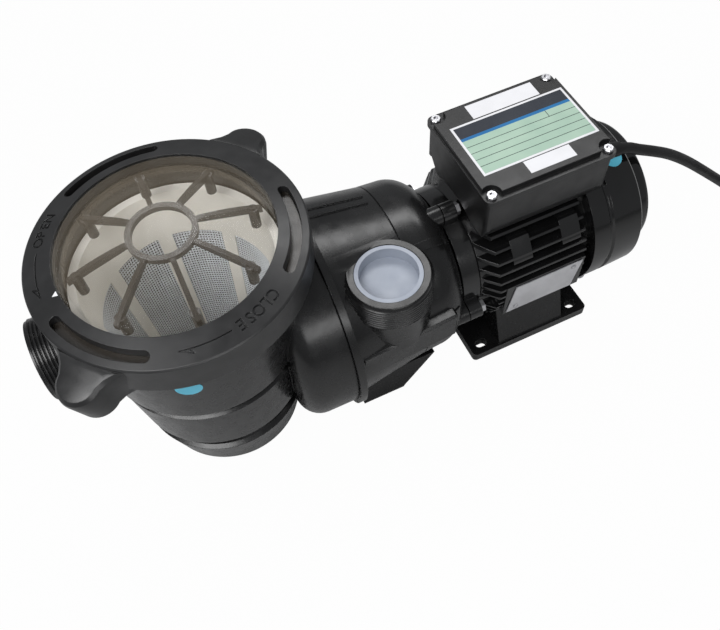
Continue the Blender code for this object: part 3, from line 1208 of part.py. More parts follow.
def make_terminal_box():
    side = [(-BOX_HALF_Y, BOX_TOP_Z), (-BOX_HALF_Y, BOX_FLOOR_Z), (-BOX_LOW_HALF_Y, BOX_LOW_Z)]
    side += [(BOX_CUT_Y, BOX_LOW_Z), (BOX_HALF_Y, BOX_CUT_Z), (BOX_HALF_Y, BOX_TOP_Z)]
    box = piece("terminal_box", extruded(side, BOX_FRONT_X, BOX_REAR_X), ALONG_X)
    keep(box, extruded(box_plan(0, BOX_CORNER, 3), BOX_LOW_Z / 2, 2 * BOX_TOP_Z))
    cavity = box_plan(BOX_WALL, BOX_CORNER, 2)
    cut(box, extruded(cavity, BOX_FLOOR_Z, 2 * BOX_TOP_Z))
    cut(box, cylinder(FIN_R + SEAT_GAP, 2 * BOX_FRONT_X, 2 * BOX_REAR_X, FINE_STEPS), SHAFT_FRAME)
    cover_front = FAN_COVER_FRONT_X - RUN_GAP
    cut(box, cylinder(FAN_COVER_R + RUN_GAP, cover_front, 2 * BOX_REAR_X, FINE_STEPS), SHAFT_FRAME)
    for x, y in box_screw_places():
        join(box, cylinder(BOX_BOSS_R, BOX_FLOOR_Z - BOX_WALL, BOX_TOP_Z, 10), at(x, y, 0))
    for x, y in box_screw_places():
        low = BOX_LID_RIM_Z - BOX_SCREW_LENGTH - SEAT_GAP
        cut(box, cylinder(BOX_SCREW_R + SCREW_GAP, low, 2 * BOX_TOP_Z, PIN_STEPS), at(x, y, 0))
    gland = at(0, CORD_Y, GLAND_Z) @ ALONG_X
    hole_front = BOX_REAR_X - GLAND_SHANK_LENGTH - SEAT_GAP
    cut(box, cylinder(GLAND_SHANK_R + SEAT_GAP, hole_front, 2 * BOX_REAR_X, SMALL_STEPS), gland)
    return box


def make_terminal_box_gasket():
    outer = box_plan(GASKET_INSET, BOX_CORNER, 2)
    inner = box_plan(GASKET_INSET + GASKET_W, BOX_CORNER, 2)
    low = BOX_TOP_Z + SEAT_GAP
    gasket = piece("terminal_box_gasket", extruded(outer, low, low + GASKET_T))
    cut(gasket, extruded(inner, BOX_TOP_Z, low + 2 * GASKET_T))
    for x, y in box_screw_places():
        cut(gasket, cylinder(BOX_SCREW_R + SCREW_GAP, BOX_TOP_Z, low + 2 * GASKET_T, PIN_STEPS), at(x, y, 0))


def make_terminal_box_lid():
    front = BOX_FRONT_X - LID_OVERHANG
    rear = BOX_REAR_X + LID_OVERHANG
    half_y = BOX_HALF_Y + LID_OVERHANG
    rim = rounded_rectangle(front, rear, -half_y, half_y, BOX_LID_CORNER, 4)
    lid = piece("terminal_box_lid", extruded(rim, BOX_LID_LOW_Z, BOX_LID_RIM_Z))
    top_y = half_y - BOX_LID_INSET_Y
    top = rounded_rectangle(front + BOX_LID_INSET_X, rear - BOX_LID_INSET_X, -top_y, top_y, BOX_LID_CORNER, 3)
    plateau = piece("plateau", extruded(top, BOX_LID_LOW_Z + BOX_LID_RIM_T / 2, BOX_LID_TOP_Z))
    for x, y in box_screw_places():
        cut(plateau, cylinder(BOX_SCREW_NOTCH_R, BOX_LID_LOW_Z, 2 * BOX_LID_TOP_Z, SMALL_STEPS), at(x, y, 0))
    raised = bmesh.new()
    raised.from_mesh(plateau.data)
    bpy.data.objects.remove(plateau)
    join(lid, raised)
    hollow = box_plan(GASKET_INSET + GASKET_W + BOX_LID_WALL, BOX_LID_CORNER, 2)
    cut(lid, extruded(hollow, BOX_LID_LOW_Z / 2, BOX_LID_TOP_Z - BOX_LID_WALL))
    for x, y in box_screw_places():
        cut(lid, cylinder(BOX_SCREW_R + SCREW_GAP, BOX_TOP_Z, 2 * BOX_TOP_Z, PIN_STEPS), at(x, y, 0))
    return lid


def make_box_lid_screws():
    seat = BOX_LID_RIM_Z + SEAT_GAP
    top = seat + BOX_SCREW_HEAD_T
    tip = BOX_LID_RIM_Z - BOX_SCREW_LENGTH
    for i, (x, y) in enumerate(box_screw_places()):
        edge = BOX_SCREW_HEAD_T / 4
        profile = [(0, top), (BOX_SCREW_HEAD_R - edge, top), (BOX_SCREW_HEAD_R, top - edge)]
        profile += [(BOX_SCREW_HEAD_R, seat), (BOX_SCREW_R, seat), (BOX_SCREW_R, tip), (0, tip)]
        screw = piece(f"box_lid_screw_{i + 1}", turned(profile, PIN_STEPS), at(x, y, 0))
        socket = extruded(hexagon(BOX_SCREW_SOCKET_R), top - BOX_SCREW_SOCKET_DEPTH, top + BOX_SCREW_HEAD_T)
        cut(screw, socket, at(x, y, 0))


def make_box_contents():
    floor_z = BOX_FLOOR_Z + SEAT_GAP
    low = (BLOCK_X - BLOCK_HALF_X, BLOCK_Y - BLOCK_HALF_Y, floor_z)
    high = (BLOCK_X + BLOCK_HALF_X, BLOCK_Y + BLOCK_HALF_Y, floor_z + BLOCK_H)
    terminals = piece("terminal_block", block(low, high))
    pitch = 2 * BLOCK_HALF_X / BLOCK_WAYS
    for i in range(BLOCK_WAYS):
        middle = BLOCK_X - BLOCK_HALF_X + (i + 0.5) * pitch
        slot_low = (middle - BLOCK_SLOT_W / 2, BLOCK_Y - BLOCK_HALF_Y / 2, floor_z + BLOCK_H - BLOCK_SLOT_DEPTH)
        slot_high = (middle + BLOCK_SLOT_W / 2, BLOCK_Y + 2 * BLOCK_HALF_Y, floor_z + 2 * BLOCK_H)
        cut(terminals, block(slot_low, slot_high))
    middle_x = (BOX_FRONT_X + BOX_REAR_X) / 2
    start = middle_x - CAPACITOR_LENGTH / 2
    end = middle_x + CAPACITOR_LENGTH / 2
    edge = CAPACITOR_ROUND
    profile = [(0, start), (CAPACITOR_R - edge, start), (CAPACITOR_R, start + edge), (CAPACITOR_R, end - edge)]
    profile += [(CAPACITOR_R - edge, end), (0, end)]
    piece("capacitor", turned(profile, 20), at(0, CAPACITOR_Y, floor_z + CAPACITOR_R) @ ALONG_X)


def boot_frame(share):
    """A frame on the bent line of the cord's boot, a share of the way along it, with local Z along the line."""
    bend_r = BOOT_LENGTH / BOOT_BEND
    turn = Matrix.Rotation(BOOT_BEND * share, 4, "Y")
    return at(BOOT_X, CORD_Y, GLAND_Z - bend_r) @ turn @ at(0, 0, bend_r) @ ALONG_X


def make_cable_gland():
    inner = BOX_REAR_X - GLAND_SHANK_LENGTH
    profile = [(0, inner), (GLAND_SHANK_R, inner), (GLAND_SHANK_R, GLAND_X), (GLAND_FLANGE_R, GLAND_X)]
    profile += [(GLAND_FLANGE_R, BOOT_X), (BOOT_ROOT_R, BOOT_X)]
    for i in range(1, BOOT_STEPS + 1):
        share = i / BOOT_STEPS
        profile += [(BOOT_ROOT_R + (BOOT_TIP_R - BOOT_ROOT_R) * share, BOOT_X + BOOT_LENGTH * share)]
    gland = turned(profile + [(0, BOOT_X + BOOT_LENGTH)], SMALL_STEPS)
    straight = at(0, CORD_Y, GLAND_Z) @ ALONG_X
    for vert in gland.verts:
        share = (vert.co.z - BOOT_X) / BOOT_LENGTH
        across = Vector((vert.co.x, vert.co.y, 0))
        vert.co = boot_frame(share) @ across if share > 0 else straight @ vert.co
    piece("cable_gland", gland)


def smooth_route(points, step):
    """Points about a step apart on a smooth curve through the route's own points."""
    ends = [points[0] * 2 - points[1]] + points + [points[-1] * 2 - points[-2]]
    route = []
    for before, start, end, after in zip(ends, ends[1:], ends[2:], ends[3:]):
        count = max(1, round((end - start).length / step))
        for i in range(count):
            t = i / count
            leave = (end - before) / 2
            arrive = (after - start) / 2
            bend = start * (2 * t**3 - 3 * t**2 + 1) + leave * (t**3 - 2 * t**2 + t)
            route.append(bend + end * (3 * t**2 - 2 * t**3) + arrive * (t**3 - t**2))
    return route + [points[-1]]


def cord_object(name, points, resolution):
    """A round cord along these points, as one tube with closed ends."""
    curve = bpy.data.curves.new(name, "CURVE")
    curve.dimensions = "3D"
    curve.bevel_depth = CORD_R
    curve.bevel_resolution = resolution
    curve.use_fill_caps = True
    spline = curve.splines.new("POLY")
    spline.points.add(len(points) - 1)
    for target, point in zip(spline.points, points):
        target.co = (*point, 1)
    obj = bpy.data.objects.new(name, curve)
    bpy.context.scene.collection.objects.link(obj)
    return obj


def coil_points():
    """The put-away length: it spirals in on the ground, climbs where it turns back, and spirals out on top."""
    half_turn = COIL_TURNS * math.pi
    count = round(COIL_TURNS * COIL_POINTS)
    points = []
    for i in range(count + 1):
        offset = -half_turn + 2 * half_turn * i / count
        radius = COIL_CORE_R + COIL_PITCH * abs(offset) / (2 * math.pi)
        climb = math.sin(max(-math.pi / 2, min(math.pi / 2, offset)))
        angle = math.pi / 2 - (offset + half_turn)
        height = COIL_LOW_Z + COIL_PITCH * (0.5 + 0.5 * climb)
        points.append(Vector((COIL_X + radius * math.cos(angle), COIL_Y + radius * math.sin(angle), height)))
    lead_in = points[0] - Vector((CORD_D, 0, 0))
    tail = [points[-1] - Vector((COIL_TAIL * share, 0, 0)) for share in (0.5, 1)]
    return [lead_in] + points + tail


def segment_distance(a, b, c, d):
    """The least distance between segment AB and segment CD, from a few alternating projections."""
    along_ab = 0.5
    along_cd = 0.5
    ab = b - a
    cd = d - c
    for _ in range(12):
        along_cd = max(0.0, min(1.0, (a + ab * along_ab - c).dot(cd) / cd.length_squared))
        along_ab = max(0.0, min(1.0, (c + cd * along_cd - a).dot(ab) / ab.length_squared))
    return (a + ab * along_ab - c - cd * along_cd).length


def least_coil_gap(points):
    """The least gap between stretches of the coil that lie more than half a turn apart."""
    apart = COIL_POINTS // 2
    gap = COIL_OUT_R
    for i in range(len(points) - 1):
        for j in range(i + apart, len(points) - 1):
            distance = segment_distance(points[i], points[i + 1], points[j], points[j + 1])
            gap = min(gap, distance - CORD_D)
    return gap


def make_cord():
    exit_frame = boot_frame(1)
    start = [exit_frame @ Vector((0, 0, SEAT_GAP)), exit_frame @ Vector((0, 0, CORD_R))]
    coil = coil_points()
    hand_over = coil[0] - Vector((SEAT_GAP, 0, 0))
    middle = [Vector((x, CORD_Y, z)) for x, z in CORD_ROUTE_XZ]
    free = smooth_route(start + middle + [hand_over], 2 * CORD_STEP)
    cord_object("power_cord", free, 2)
    cord_object("cord_coil", coil, 1)
    length = sum((b - a).length for a, b in zip(free, free[1:]))
    length += sum((b - a).length for a, b in zip(coil, coil[1:]))
    print(f"cord length {length:.3f} m, least gap in the coil {least_coil_gap(coil) * 1000:.2f} mm")
    return coil[-1]


def make_cord_tie():
    inner = COIL_CORE_R - CORD_R - TIE_GAP
    outer = COIL_OUT_R + CORD_R + TIE_GAP
    top = COIL_LOW_Z + COIL_PITCH + CORD_R + TIE_GAP
    band = rounded_rectangle(inner - TIE_T, outer + TIE_T, 0, top + TIE_T, TIE_CORNER, 3)
    hole = rounded_rectangle(inner, outer, TIE_T, top, TIE_CORNER - TIE_T, 3)
    frame = at(COIL_X, COIL_Y, 0) @ TO_NEAR
    tie = piece("cord_tie", extruded(band, -TIE_W / 2, TIE_W / 2), frame)
    cut(tie, extruded(hole, -TIE_W, TIE_W), frame)


def make_power_plug(cord_end):
    """A three-pin plug whose neck meets the end of the cord and whose pins point along -X."""
    frame = at(cord_end.x - SEAT_GAP, cord_end.y, cord_end.z) @ Matrix.Rotation(math.pi, 4, "Z") @ ALONG_X
    shape = rounded_rectangle(-PLUG_HALF_W, PLUG_HALF_W, -PLUG_HALF_H, PLUG_HALF_H, PLUG_CORNER, 3)
    end = PLUG_NECK + PLUG_BODY
    plug = piece("power_plug", extruded(shape, PLUG_NECK, end), frame)
    neck = [(0, 0), (BOOT_TIP_R, 0), (PLUG_NECK_R, PLUG_NECK / 2), (PLUG_HALF_H * 0.8, PLUG_NECK + PIN_ROOT)]
    join(plug, turned(neck + [(0, PLUG_NECK + PIN_ROOT)], SMALL_STEPS), frame)
    pins = ((-PIN_SPREAD, PIN_RISE, PIN_TILT), (PIN_SPREAD, PIN_RISE, -PIN_TILT), (0, -EARTH_PIN_DROP, 0))
    for across, up, tilt in pins:
        low = (-PIN_T / 2, -PIN_W / 2, end - PIN_ROOT)
        pin = block(low, (PIN_T / 2, PIN_W / 2, end + PIN_LENGTH))
        join(plug, pin, frame @ at(across, up, 0) @ Matrix.Rotation(tilt, 4, "Z"))


# Finish, origins and parents

def paint(prefixes, made):
    """Gives every object whose name starts with one of the prefixes this material."""
    for obj in bpy.context.scene.objects:
        if obj.type in ("MESH", "CURVE") and obj.name.startswith(prefixes):
            obj.data.materials.clear()
            obj.data.materials.append(made)


def paint_all():
    black = (0.022, 0.022, 0.024)
    paint(("strainer_pot", "pump_casing", "diffuser"), material("black_moulding", black, 0.45))
    paint(("lock_ring",), material("ring_moulding", (0.045, 0.045, 0.050), 0.50))
    paint(("terminal_box", "motor_foot", "cable_gland"), material("box_moulding", (0.030, 0.030, 0.033), 0.50))
    enamel = material("black_enamel", (0.012, 0.012, 0.013), 0.35)
    paint(("motor_housing", "motor_bracket", "rear_end_shield"), enamel)
    paint(("fan_cover", "cooling_fan", "drain_plug"), material("gloss_moulding", (0.018, 0.018, 0.020), 0.28))
    paint(("clear_lid",), material("clear_moulding", (0.90, 0.86, 0.76), 0.08, transmission=0.9))
    paint(("strainer_basket",), material("cream_moulding", (0.80, 0.77, 0.68), 0.45))
    paint(("port_cap",), material("pale_cap", (0.72, 0.77, 0.84), 0.40))
    seal_rubber = material("seal_rubber", black, 0.75)
    paint(("lid_o_ring", "casing_o_ring", "drain_plug_gasket", "terminal_box_gasket"), seal_rubber)
    cord_rubber = material("cord_rubber", (0.020, 0.020, 0.022), 0.60)
    paint(("power_cord", "cord_coil", "power_plug", "cord_tie"), cord_rubber)
    paint(("rating_plate",), material("bare_aluminium", (0.74, 0.74, 0.72), 0.40, 1.0))
    plated_steel = material("plated_steel", (0.62, 0.61, 0.58), 0.30, 1.0)
    paint(("plate_rivet", "box_lid_screw", "fan_cover_screw", "casing_bolt"), plated_steel)
    steel = material("steel", (0.50, 0.50, 0.51), 0.35, 1.0)
    paint(("motor_shaft", "front_bearing", "rear_bearing", "rotor_core", "stator_core"), steel)
    paint(("stator_winding",), material("copper_wire", (0.62, 0.30, 0.14), 0.35, 1.0))
    paint(("impeller", "seal_plate", "terminal_block"), material("grey_moulding", (0.10, 0.10, 0.11), 0.50))
    paint(("seal_seat", "seal_head"), material("seal_ceramic", (0.70, 0.68, 0.62), 0.40))
    paint(("capacitor",), material("capacitor_can", (0.72, 0.72, 0.70), 0.45))


def shade_all():
    for obj in bpy.context.scene.objects:
        if obj.type == "MESH":
            obj.data.shade_smooth()
            obj.data.set_sharp_from_angle(angle=math.radians(35))


def carry(name, place, carried):
    """An empty on a moving body's joint line that carries its pieces, whose own origins move there too."""
    empty = bpy.data.objects.new(name, None)
    empty.location = place
    bpy.context.scene.collection.objects.link(empty)
    for piece_name in carried:
        obj = bpy.data.objects[piece_name]
        obj.data.transform(at(-place.x, -place.y, -place.z))
        obj.parent = empty


def carry_moving_pieces():
    pot_line = Vector((POT_X, 0, POT_RIM_Z))
    shaft_line = Vector((0, 0, SHAFT_Z))
    carry("lid_line", pot_line, ("clear_lid", "lid_o_ring"))
    carry("ring_line", pot_line, ("lock_ring",))
    carry("basket_line", pot_line, ("strainer_basket",))
    carry("cap_line", Vector((PORT_X, PORT_Y, PORT_TOP_Z)), ("port_cap",))
    carry("drain_line", Vector((POT_X, DRAIN_BOSS_REACH, DRAIN_Z)), ("drain_plug", "drain_plug_gasket"))
    carry("rotor_line", shaft_line, ("motor_shaft", "rotor_core", "impeller", "seal_head", "cooling_fan"))


def main():
    for obj in list(bpy.data.objects):
        bpy.data.objects.remove(obj)
    make_lock_ring()
    make_clear_lid()
    make_strainer_pot()
    make_o_rings()
    make_drain_plug()
    make_strainer_basket()
    make_pump_casing()
    make_port_cap()
    make_diffuser()
    make_impeller()
    make_shaft_seal()
    make_motor_shaft()
    make_rotor_and_stator()
    make_bearings()
    make_motor_bracket()
    make_casing_bolts()
    make_motor_housing()
    make_rating_plate()
    make_rear_end_shield()
    make_fan_cover()
    make_fan_cover_screws()
    make_cooling_fan()
    make_motor_foot()
    make_terminal_box()
    make_terminal_box_gasket()
    make_terminal_box_lid()
    make_box_lid_screws()
    make_box_contents()
    make_cable_gland()
    cord_end = make_cord()
    make_cord_tie()
    make_power_plug(cord_end)
    paint_all()
    shade_all()
    carry_moving_pieces()


main()
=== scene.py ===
"""Looks for the pool pump: finishes, finer mouldings over the coarse solids, its cord and a plain studio."""

import json
import math

import bmesh
import bpy
from mathutils import Matrix
from mathutils import Vector

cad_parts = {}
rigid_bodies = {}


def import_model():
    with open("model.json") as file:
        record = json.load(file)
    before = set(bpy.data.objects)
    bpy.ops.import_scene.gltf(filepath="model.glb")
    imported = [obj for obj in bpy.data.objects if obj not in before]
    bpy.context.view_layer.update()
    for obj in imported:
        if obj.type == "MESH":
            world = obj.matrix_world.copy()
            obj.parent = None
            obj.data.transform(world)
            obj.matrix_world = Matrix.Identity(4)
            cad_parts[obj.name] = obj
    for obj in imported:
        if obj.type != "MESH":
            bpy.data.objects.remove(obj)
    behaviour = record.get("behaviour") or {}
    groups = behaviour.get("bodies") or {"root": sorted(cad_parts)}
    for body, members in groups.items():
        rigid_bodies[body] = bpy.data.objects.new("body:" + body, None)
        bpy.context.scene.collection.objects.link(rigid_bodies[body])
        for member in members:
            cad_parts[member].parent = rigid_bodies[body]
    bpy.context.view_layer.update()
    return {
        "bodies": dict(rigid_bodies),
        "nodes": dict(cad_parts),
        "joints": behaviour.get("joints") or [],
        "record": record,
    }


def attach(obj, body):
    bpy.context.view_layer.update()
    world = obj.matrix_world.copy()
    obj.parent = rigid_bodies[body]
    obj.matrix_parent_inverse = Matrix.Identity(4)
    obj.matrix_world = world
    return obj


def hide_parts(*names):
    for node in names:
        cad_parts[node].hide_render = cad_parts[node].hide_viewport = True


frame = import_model()

# Clearances
SEAT_GAP = 0.0003
RUN_GAP = 0.0005
SCREW_GAP = 0.0004

# Facets round a full turn, for large, middling and small round pieces
FINE_STEPS = 128
STEPS = 96
SMALL_STEPS = 48
PIN_STEPS = 24
# Points that lie closer than this after a Boolean are one point.
WELD_GAP = 0.000001

# Shaft line and stations along it
SHAFT_Z = 0.1074
HOUSING_FRONT_X = -0.062
HOUSING_LENGTH = 0.100
BRACKET_LENGTH = 0.0160
CASING_LENGTH = 0.1146
POT_REACH = 0.0964
BRACKET_REAR_X = HOUSING_FRONT_X - SEAT_GAP
CASING_REAR_X = BRACKET_REAR_X - BRACKET_LENGTH
FLANGE_X = CASING_REAR_X - CASING_LENGTH
POT_X = FLANGE_X - POT_REACH
HOUSING_REAR_X = HOUSING_FRONT_X + HOUSING_LENGTH

# Locking ring
RING_R = 0.100
RING_WALL = 0.0038
RING_LIP_W = 0.0220
RING_EDGE_T = 0.0040
RING_LIP_T = 0.0099
RING_SKIRT = 0.0213
RING_EDGE_ROUND = 0.0012
RING_SKIRT_R = RING_R - RING_WALL
RING_INNER_R = RING_R - RING_LIP_W
SLOT_COUNT = 3
SLOT_INSET = 0.0100
SLOT_W = 0.0080
SLOT_SPAN = math.radians(44.6)
SLOT_FIRST = math.radians(101.5)
LUG_ANGLE = math.radians(41.5)
LUG_REACH = 0.0295
LUG_ROOT_W = 0.0560
LUG_TIP_W = 0.0330
LUG_H = 0.0320
LUG_ROUND = 0.0080
LUG_TILT = math.radians(14)

# Clear lid
LID_FLANGE_T = 0.0042
LID_FLANGE_GAP = 0.0027
LID_WALL = 0.0040
LID_CROWN = 0.0150
LID_SHOULDER = 0.0030
LID_RIBS = 8
LID_RIB_W = 0.0036
LID_RIB_H = 0.0050
LID_HUB_H = 0.0062
LID_HUB_R = 0.0250
LID_HUB_WALL = 0.0042
LID_POST_R = 0.0640
LID_POST_RADIUS = 0.0038
LID_POST_LENGTH = 0.0150

# Strainer pot, from the top down; each tier starts with a groove
RING_CLEARANCE = 0.0015
POT_RIM_R = RING_SKIRT_R - RING_CLEARANCE
POT_RIM_Z = 0.2395
POT_RIM_H = 0.0140
POT_TOP_INSET = 0.0067
LID_GROOVE_INSET = 0.0077
MOUTH_INSET = 0.0152
LEDGE_DROP = 0.0205
LEDGE_W = 0.0040
POT_TAPER = 0.0065
TIER_1_LOW_Z = 0.1385
TIER_2_TOP_Z = 0.1300
TIER_2_TAPER = 0.0075
TIER_2_LOW_Z = 0.0680
CUP_TOP_Z = 0.0520
CUP_TAPER = 0.0075
POT_BASE_Z = 0.0080
GROOVE_SETBACK = 0.0020
TIER_ROUND = 0.0040
POT_WALL = 0.0060
POT_FLOOR_T = 0.0060
ORING_RADIUS = 0.0015
POT_TOP_R = POT_RIM_R - POT_TOP_INSET
POT_MOUTH_R = POT_RIM_R - MOUTH_INSET
LID_GROOVE_R = POT_RIM_R - LID_GROOVE_INSET
TIER_1_R = POT_TOP_R - POT_TAPER
TIER_2_TOP_R = TIER_1_R - GROOVE_SETBACK
TIER_2_R = TIER_1_R - TIER_2_TAPER
CUP_R = TIER_2_R - GROOVE_SETBACK
CUP_LOW_R = CUP_R - CUP_TAPER

# Inlet stub, front half of the drum, and the drain
INLET_Z = 0.1750
INLET_REACH = 0.1170
INLET_R = 0.0325
INLET_BORE_R = 0.0262
INLET_COLLAR_R = 0.0355
INLET_COLLAR_REACH = 0.0930
DRUM_INSET = 0.0027
DRUM_DEPTH = 0.0460
DRUM_ROUND = 0.0200
DRUM_POCKET_IN_R = 0.0340
DRUM_POCKET_OUT_R = 0.0740
DRUM_POCKET_DEPTH = 0.0190
SUCTION_R = 0.0260
CASING_GROOVE_INSET = 0.0110
DRAIN_Z = 0.0360
DRAIN_R = 0.0080
DRAIN_BOSS_R = 0.0130
DRAIN_BOSS_PROUD = 0.0060
DRUM_R = POT_RIM_R - DRUM_INSET
CASING_GROOVE_R = DRUM_R - CASING_GROOVE_INSET
DRAIN_BOSS_REACH = CUP_R + DRAIN_BOSS_PROUD

# Basket
BASKET_RIM_GAP = 0.0012
BASKET_RIM_T = 0.0030
BASKET_SIDE_GAP = 0.0015
BASKET_FLOOR_GAP = 0.0200
BASKET_TAPER = 0.0180
BASKET_WALL = 0.0022
WINDOWS = 8
WINDOW_TOP_DROP = 0.0420
WINDOW_FOOT_RISE = 0.0140

# Volute casing and its discharge port, placed from the front flange
CASING_LIP_PROUD = 0.0040
CASING_LIP_T = 0.0060
CASING_STEP = 0.0080
CASING_MID_R = 0.0785
CASING_REAR_R = 0.0775
CASING_SHOULDER = 0.0280
CASING_SEAM_AT = 0.0703
CASING_SEAM_W = 0.0012
CHAMBER_R = 0.0700
REAR_WALL = 0.0183
REAR_BORE_R = 0.0460
PORT_AT = 0.0476
PORT_Y = -0.0517
PORT_TOP_Z = 0.1859
PORT_RIM_R = 0.0334
PORT_THREAD_R = 0.0350
PORT_RIM_H = 0.0030
PORT_THREAD_H = 0.0240
PORT_BORE_R = 0.0270
PORT_FOOT_Z = 0.1240
THROAT_R = 0.0200
THROAT_FOOT_Z = 0.1200
SADDLE_AT = 0.0079
SADDLE_LENGTH = 0.0880
SADDLE_FRONT_Y = -0.0860
SADDLE_REAR_Y = -0.0812
SADDLE_TOP_Z = 0.1325
SADDLE_FOOT_Z = 0.1030
SADDLE_BEVEL = 0.0020
FRONT_FOOT_AT = 0.0359
FRONT_FOOT_HALF_X = 0.0210
FRONT_FOOT_HALF_Y = 0.0600
FRONT_FOOT_TOP_HALF_Y = 0.0480
FRONT_FOOT_H = 0.0600
CASING_LIP_R = DRUM_R + CASING_LIP_PROUD
CASING_FRONT_R = CASING_LIP_R - CASING_STEP
CASING_SEAM_X = FLANGE_X + CASING_SEAM_AT
PORT_X = FLANGE_X + PORT_AT
SADDLE_FRONT_X = FLANGE_X + SADDLE_AT
SADDLE_REAR_X = SADDLE_FRONT_X + SADDLE_LENGTH
FRONT_FOOT_X = FLANGE_X + FRONT_FOOT_AT

# Transit cap in the port
CAP_DROP = 0.0005
CAP_H = 0.0180
CAP_DEPTH = 0.0115
CAP_WALL = 0.0033

# Bearings, bracket and rear shield
BEARING_R = 0.0175
FRONT_BEARING_INSET = 0.0062
BRACKET_R = 0.0580
SPIGOT_LENGTH = 0.0060
FRONT_BEARING_X = BRACKET_REAR_X - FRONT_BEARING_INSET

# Shaft and rotor
SHAFT_HOLE_R = 0.0090
STATOR_R = 0.0537

# Bolts that hold the bracket to the casing
BOLTS = 4
BOLT_FIRST = math.radians(8)
BOLT_PITCH_R = 0.0640
EAR_R = 0.0085
EAR_LENGTH = 0.0120
BOLT_R = 0.0028
BOLT_DEPTH = 0.0140

# Finned housing
HOUSING_R = 0.0580
FIN_R = 0.0700
FIN_PITCH = 0.0090
FIN_T = 0.0026
FIN_ROWS = 6
FIN_CHAMFER = 0.0130
FIN_REAR_SETBACK = 0.0030
PAD_HALF_W = 0.0280
FRONT_PAD_SETBACK = 0.0360
REAR_PAD_SETBACK = 0.0170
LUG_PAD_HALF_X = 0.0090
LUG_PAD_Y = 0.0620
LUG_PAD_LOW_Z = 0.1385
LUG_PAD_HIGH_Z = 0.1570
LUG_PAD_X = (HOUSING_FRONT_X + FRONT_PAD_SETBACK, HOUSING_REAR_X - REAR_PAD_SETBACK)

# Rating plate, left bare
PLATE_OFFSET = 0.0070
PLATE_Z = 0.0995
PLATE_LENGTH = 0.0660
PLATE_H = 0.0350
PLATE_SKEW = 0.0030
PLATE_PAD_PROUD = 0.0003
PLATE_PAD_MARGIN = 0.0025
PLATE_X = (HOUSING_FRONT_X + HOUSING_REAR_X) / 2 + PLATE_OFFSET
PLATE_Y = FIN_R + PLATE_PAD_PROUD
RIVET_INSET = 0.0055
RIVET_SHANK_R = 0.0012
RIVET_LENGTH = 0.0050

# Fan and its cover, placed from the rear of the housing
FAN_COVER_SETBACK = 0.0040
FAN_COVER_PROUD = 0.0022
FAN_COVER_TAPER = 0.0010
FAN_COVER_LENGTH = 0.0500
FAN_COVER_EDGE = 0.0020
FAN_COVER_WALL = 0.0020
COVER_CAP_R = 0.0590
COVER_CAP_LENGTH = 0.0175
COVER_CAP_ROUND = 0.0060
GROOVE_FROM_FRONT = 0.0155
GROOVE_W = 0.0050
GROOVE_DEPTH = 0.0016
GRILLE_RINGS = 3
GRILLE_FIRST_R = 0.0180
GRILLE_PITCH = 0.0130
GRILLE_SLOT_W = 0.0070
GRILLE_ARCS = 3
GRILLE_BAR_W = 0.0060
COVER_SCREW_ANGLES = (math.radians(125), math.radians(235))
COVER_SCREW_FROM_FRONT = 0.0055
COVER_SCREW_R = 0.0016
FAN_COVER_R = FIN_R + FAN_COVER_PROUD
FAN_COVER_REAR_R = FAN_COVER_R - FAN_COVER_TAPER
FAN_COVER_FRONT_X = HOUSING_REAR_X + FAN_COVER_SETBACK
FAN_COVER_EDGE_X = FAN_COVER_FRONT_X + FAN_COVER_LENGTH
FAN_COVER_REAR_X = FAN_COVER_EDGE_X + COVER_CAP_LENGTH

# Motor foot
FOOT_HALF_X = 0.0630
FOOT_HALF_Y = 0.0660
FOOT_FLANGE_T = 0.0100
FOOT_CORNER = 0.0040
PEDESTAL_HALF_X = 0.0350
PEDESTAL_TOP_Z = 0.0560
PEDESTAL_TOP_HALF_Y = 0.0478
FOOT_SLOT_X = 0.0505
FOOT_SLOT_Y = 0.0555
FOOT_SLOT_W = 0.0080
FOOT_SLOT_LENGTH = 0.0120
FOOT_WEB = 0.0080
FOOT_WALL = 0.0060
FOOT_POCKET_H = 0.0260

# Terminal box
BOX_FRONT_X = -0.0600
BOX_REAR_X = 0.0520
BOX_HALF_Y = 0.0490
BOX_LOW_HALF_Y = 0.0450
BOX_SKIRT = 0.0054
BOX_FLOOR_T = 0.0066
BOX_H = 0.0405
BOX_CUT_Y = 0.0300
BOX_CUT_RISE = 0.0200
BOX_WALL = 0.0028
BOX_CORNER = 0.0050
GASKET_T = 0.0010
GASKET_INSET = 0.0010
GASKET_W = 0.0050
LID_OVERHANG = 0.0020
BOX_LID_RIM_T = 0.0044
BOX_LID_TOP_T = 0.0045
BOX_LID_INSET_X = 0.0015
BOX_LID_INSET_Y = 0.0047
BOX_LID_WALL = 0.0028
BOX_LID_CORNER = 0.0060
BOX_SCREW_INSET_X = 0.0045
BOX_SCREW_INSET_Y = 0.0042
BOX_SCREW_NOTCH_R = 0.0078
BOX_SCREW_R = 0.0017
BOX_SCREW_LENGTH = 0.0150
BOX_BOSS_R = 0.0042

